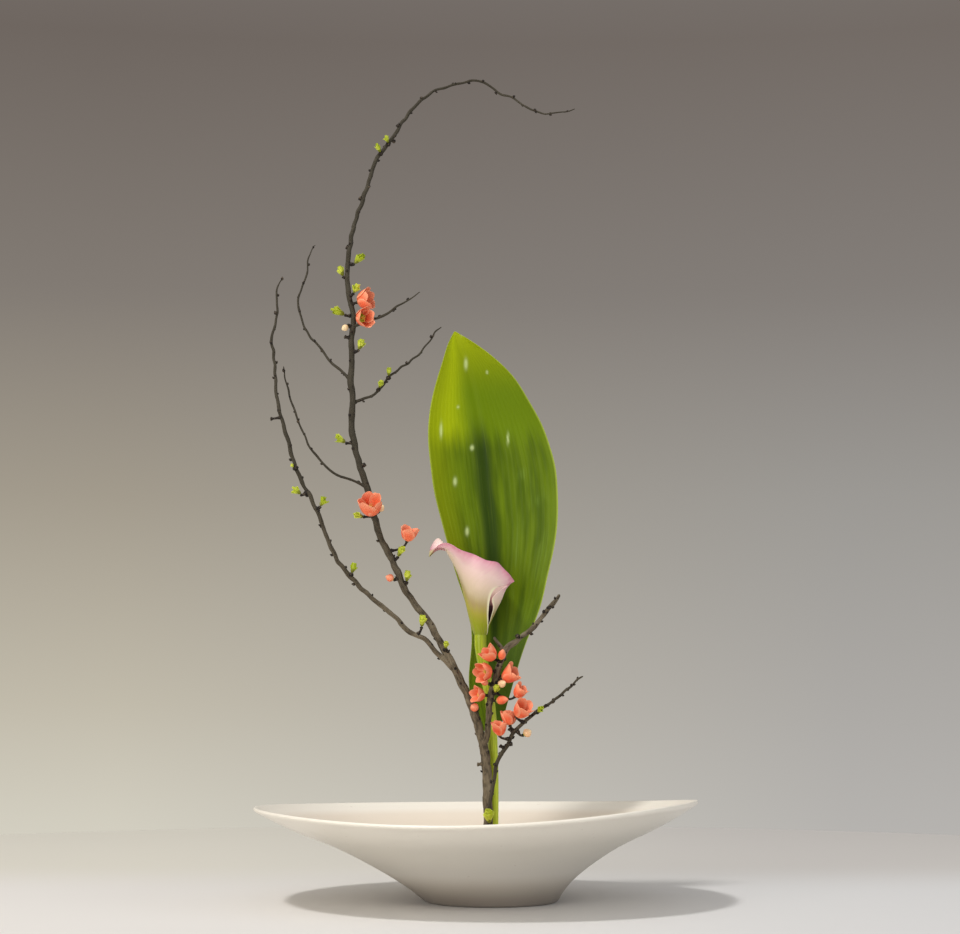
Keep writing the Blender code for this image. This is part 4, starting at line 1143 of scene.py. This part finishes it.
def spathe_inside():
    """A throat of the deepest purple that turns pale pink towards the lip."""
    f = Finish("calla_throat", 0.5, Specular_IOR_Level=0.3)
    across, along = f.across_and_along()
    streaks = f.streaks(across * 30.0, along * 2.0, 4.0)
    rise = along + (streaks - 0.5) * 0.14
    throat = f.ramp(rise, [(0.0, (0.020, 0.002, 0.004)), (0.44, (0.030, 0.003, 0.006)),
                           (0.54, (0.48, 0.24, 0.22)), (0.64, (0.84, 0.64, 0.56)),
                           (0.90, (0.86, 0.62, 0.62)), (1.0, (0.72, 0.34, 0.44))])
    near_tip = f.step(across.away_from(0.5), 0.10, 0.03)
    rosy = f.mix(f.step(along, 0.70, 0.80) * near_tip * 0.85, throat, (0.56, 0.20, 0.30))
    f.feed(Base_Color=f.mix(f.step(along, 0.91, 0.96) * near_tip * 0.8, rosy, (0.52, 0.54, 0.22)))
    f.bump(streaks, 0.0003)
    return f.material


def spadix_yellow():
    """Small packed florets: bright cells that are browner and lower at their edges."""
    f = Finish("calla_spadix", 0.65)
    grains = f.node("ShaderNodeTexVoronoi", None, {"Vector": f.place(), "Scale": 1100.0})
    f.feed(Base_Color=f.mix(grains * 1.5, (0.88, 0.62, 0.08), (0.55, 0.30, 0.02)))
    f.bump(1.0 - grains, 0.0005)
    return f.material


def aspidistra_green():
    """A leaf with painted light: a top painted bright as if lit through, a lighter left side and pale
    glints on the right; a deep lower part, and streaks.
    """
    f = Finish("aspidistra_leaf", 0.42, Specular_IOR_Level=0.10)
    across, along = f.across_and_along()
    fine = f.streaks(across * 46.0, along * 2.4, 4.0, 0.6)
    broad = f.streaks(across * 6.0, along * 3.2, 2.0)
    deep = f.mix(f.step(broad, 0.30, 0.70), (0.062, 0.108, 0.001), (0.118, 0.184, 0.003))
    # Painted light: above a wavy line near the top the blade is painted bright yellow-green, as light
    # shining through it, brightest at the tip and on its left side.
    top_line = along + (broad - 0.5) * 0.05 + (fine - 0.5) * 0.03
    bright = f.mix(f.step(along, 0.88, 1.0), (0.132, 0.212, 0.001), (0.31, 0.38, 0.002))
    painted_lit_top = f.mix(f.step(across, 0.46, 0.16), bright, (0.37, 0.46, 0.001))
    body = f.mix(f.step(top_line, 0.775, 0.835), deep, painted_lit_top)
    # Painted light: a broad strip along the left margin, from the middle up, is painted lighter
    # yellow-green, as the side that faces the light.
    left_side_light = f.step(across, 0.30, 0.02) * f.step(along, 0.35, 0.60)
    left_lit = f.mix(left_side_light * 0.75, body, (0.225, 0.285, 0.001))
    rib_side = f.step((across - 0.485 + (broad - 0.5) * 0.05).math("ABSOLUTE"), 0.120, 0.02)
    rib = rib_side * f.step(along, 0.86, 0.78) * f.step(along, 0.22, 0.40)
    ribbed = f.mix(rib * 0.9, left_lit, (0.018, 0.042, 0.003))
    # Painted glints: pale streaks in patches on the right part of the blade stand for light glancing off
    # it.
    glint_patches = f.step(f.noise(f.vector(across * 5.0, along * 7.0), 1.6, 2.0), 0.50, 0.68)
    pale = f.step(fine, 0.42, 0.68) * f.step(across, 0.58, 0.72) * f.step(along, 0.82, 0.72) * glint_patches
    glinted = f.mix(pale * 0.60, ribbed, (0.175, 0.275, 0.040))
    lined = f.mix(f.step(fine, 0.56, 0.74) * 0.16, glinted, (0.22, 0.32, 0.010))
    cool = f.step(along, 0.52, 0.34) * f.step(across, 0.30, 0.55)
    lower = f.mix(cool * 0.8, lined, (0.080, 0.150, 0.016))
    flecks = f.node("ShaderNodeAttribute", {"attribute_name": "fleck"}, output="Fac")
    stemmed = f.mix(f.step(along, 0.27, 0.22), lower, (0.170, 0.280, 0.008))
    margin = f.step(across.away_from(0.5), 0.482, 0.498) * f.step(along, 0.25, 0.40)
    rimmed = f.mix(margin * 0.6, stemmed, (0.44, 0.54, 0.080))
    f.feed(Base_Color=f.mix(flecks * 0.65, rimmed, (0.62, 0.74, 0.34)),
           Roughness=0.36 + fine * 0.18)
    f.bump(fine * 0.6 + broad * 0.4, 0.0004, 0.7)
    return f.material


# ================================================================ stage, light and camera

EYE = (3.6 * MM, -1800.0 * MM, 174.0 * MM)
LENS = 75.0
TILT = 6.73
FLOOR_RADIUS = 1100.0
# Soft lights: name, place (m), size (m), power (W), colour
LIGHTS = [("key", (-1.50, -1.38, 4.1), 0.5, 100.0, (1.0, 0.98, 0.95)),
          ("fill", (-1.9, -3.0, 0.7), 1.8, 60.0, (1.0, 0.97, 0.92)),
          ("right", (3.0, -1.6, 1.1), 1.8, 26.0, (0.94, 0.97, 1.0))]
# The studio's surround on either side: (half the direction's height plus a half, colour)
SURROUND_LEFT = [(0.40, (0.66, 0.64, 0.57)), (0.47, (0.65, 0.62, 0.53)), (0.50, (0.535, 0.495, 0.405)),
                 (0.55, (0.365, 0.327, 0.265)), (0.60, (0.223, 0.198, 0.174)),
                 (0.66, (0.158, 0.134, 0.118)), (0.72, (0.22, 0.20, 0.19)), (0.80, (0.60, 0.58, 0.54)),
                 (1.0, (0.62, 0.60, 0.56))]
SURROUND_RIGHT = [(0.40, (0.50, 0.49, 0.47)), (0.47, (0.465, 0.45, 0.43)), (0.50, (0.413, 0.397, 0.376)),
                  (0.55, (0.332, 0.318, 0.298)), (0.60, (0.227, 0.207, 0.190)),
                  (0.66, (0.172, 0.148, 0.132)), (0.72, (0.22, 0.21, 0.20)), (0.80, (0.58, 0.57, 0.56)),
                  (1.0, (0.60, 0.59, 0.58))]


def make_stage():
    """A pale floor disc and a soft surround, both a little warmer on the left than on the right; the
    floor's colour carries painted light, lighter at the front and on the left.

    The surround dims from the floor's line upwards and is bright again high above the object.
    """
    floor = lathe([(0.01, -12.0), (FLOOR_RADIUS - 6, -12.0), (FLOOR_RADIUS, -6.0),
                   (FLOOR_RADIUS - 4, 0.0), (0.01, 0.0)], 128)
    floor_tone_and_light = Finish("floor_tone_and_painted_light", 0.6)
    over, depth, _ = floor_tone_and_light.split(floor_tone_and_light.place())
    # Painted light: the floor is lighter and warmer at the front and on the left, darker and cooler at the
    # back and on the right.
    right = floor_tone_and_light.step(over, -0.45, 0.45)
    near = floor_tone_and_light.mix(right, (0.77, 0.745, 0.72), (0.68, 0.68, 0.69))
    far = floor_tone_and_light.mix(right, (0.71, 0.685, 0.61), (0.59, 0.57, 0.555))
    floor_tone_and_light.feed(Base_Color=floor_tone_and_light.mix(floor_tone_and_light.step(depth, 0.08, 0.42), near, far))
    surface = Rings(floor)
    mesh = bpy.data.meshes.new("floor")
    faces = surface.quads.tolist() + surface.triangles.tolist()
    mesh.from_pydata((surface.points * MM).tolist(), [], faces)
    mesh.materials.append(floor_tone_and_light.material)
    floor_object = bpy.data.objects.new("floor", mesh)
    bpy.context.scene.collection.objects.link(floor_object)

    world = bpy.data.worlds.new("studio")
    bpy.context.scene.world = world
    world.use_nodes = True
    nodes, links = world.node_tree.nodes, world.node_tree.links
    direction = nodes.new("ShaderNodeTexCoord")
    split = nodes.new("ShaderNodeSeparateXYZ")
    links.new(direction.outputs["Generated"], split.inputs[0])
    rise, side = [nodes.new("ShaderNodeMath") for _ in range(2)]
    for node, source, factor in ((rise, 2, 0.5), (side, 0, 2.8)):
        node.operation, node.use_clamp = "MULTIPLY_ADD", True
        node.inputs[1].default_value, node.inputs[2].default_value = factor, 0.5
        links.new(split.outputs[source], node.inputs[0])
    blend = nodes.new("ShaderNodeMix")
    blend.data_type = "RGBA"
    links.new(side.outputs[0], blend.inputs[0])
    for socket, stops in ((6, SURROUND_LEFT), (7, SURROUND_RIGHT)):
        ramp = nodes.new("ShaderNodeValToRGB")
        Finish.set_stops(ramp.color_ramp, stops)
        links.new(rise.outputs[0], ramp.inputs[0])
        links.new(ramp.outputs[0], blend.inputs[socket])
    links.new(blend.outputs[2], nodes["Background"].inputs[0])


def add_light(name, place, size, power, colour):
    """A square soft light at place that faces a point 200 mm above the origin."""
    lamp = bpy.data.lights.new(name, "AREA")
    lamp.size, lamp.energy, lamp.color = size, power, colour
    light = bpy.data.objects.new(name, lamp)
    light.location = place
    towards = np.array([0.0, 0.0, 0.2]) - np.array(place)
    light.rotation_euler = (math.atan2(math.hypot(towards[0], towards[1]), -towards[2]), 0.0,
                            math.atan2(towards[1], towards[0]) - math.pi / 2)
    bpy.context.scene.collection.objects.link(light)


def make_camera():
    """In front of the object, about a quarter of its height up, tilted up by TILT degrees."""
    lens = bpy.data.cameras.new("camera")
    lens.lens, lens.sensor_width, lens.sensor_fit = LENS, 36.0, "HORIZONTAL"
    lens.clip_start = 0.05
    camera = bpy.data.objects.new("camera", lens)
    camera.location = EYE
    camera.rotation_euler = (math.radians(90 + TILT), 0.0, 0.0)
    bpy.context.scene.collection.objects.link(camera)
    bpy.context.scene.camera = camera


def main():
    make_camera()
    make_stage()
    bpy.context.scene.view_settings.view_transform = "Standard"
    for light in LIGHTS:
        add_light(*light)

    make_bowl(glazed_stoneware())
    make_holder(cast_lead(), pin_brass(), black_rubber())
    bark, low_bark = quince_bark("quince_bark", 0.0), quince_bark("quince_low_bark", 0.78)
    scales, green = bud_scales(), young_green()
    coral = petal_finish("quince_petal", (0.72, 0.060, 0.022), (0.87, 0.175, 0.075), (0.95, 0.46, 0.28))
    pale = petal_finish("quince_bud_pale", (0.86, 0.40, 0.22), (0.88, 0.62, 0.36), (0.92, 0.76, 0.48))
    yellow = stamen_yellow()
    make_quince("quince_branch", BRANCH_LIMBS, BARE_SPURS, BRANCH_TUFTS + BRANCH_BLOSSOMS + BRANCH_BUDS,
                bark, scales)
    make_quince("quince_low_twig", LOW_LIMBS, LOW_BARE_SPURS, LOW_TUFTS + LOW_BLOSSOMS + LOW_BUDS,
                low_bark, scales)
    for prefix, limbs, tufts, blossoms, buds in (
            ("branch", BRANCH_LIMBS, BRANCH_TUFTS, BRANCH_BLOSSOMS, BRANCH_BUDS),
            ("low_twig", LOW_LIMBS, LOW_TUFTS, LOW_BLOSSOMS, LOW_BUDS)):
        make_tufts(prefix + "_tuft", limbs, tufts, green)
        make_blossoms(prefix + "_blossom", limbs, blossoms, coral, green, yellow)
        make_buds(prefix + "_bud", limbs, buds, coral, pale, green)
    make_calla(calla_stem_green(), spathe_outside(), spathe_inside(), spadix_yellow())
    make_leaf(aspidistra_green())

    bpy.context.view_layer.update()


main()
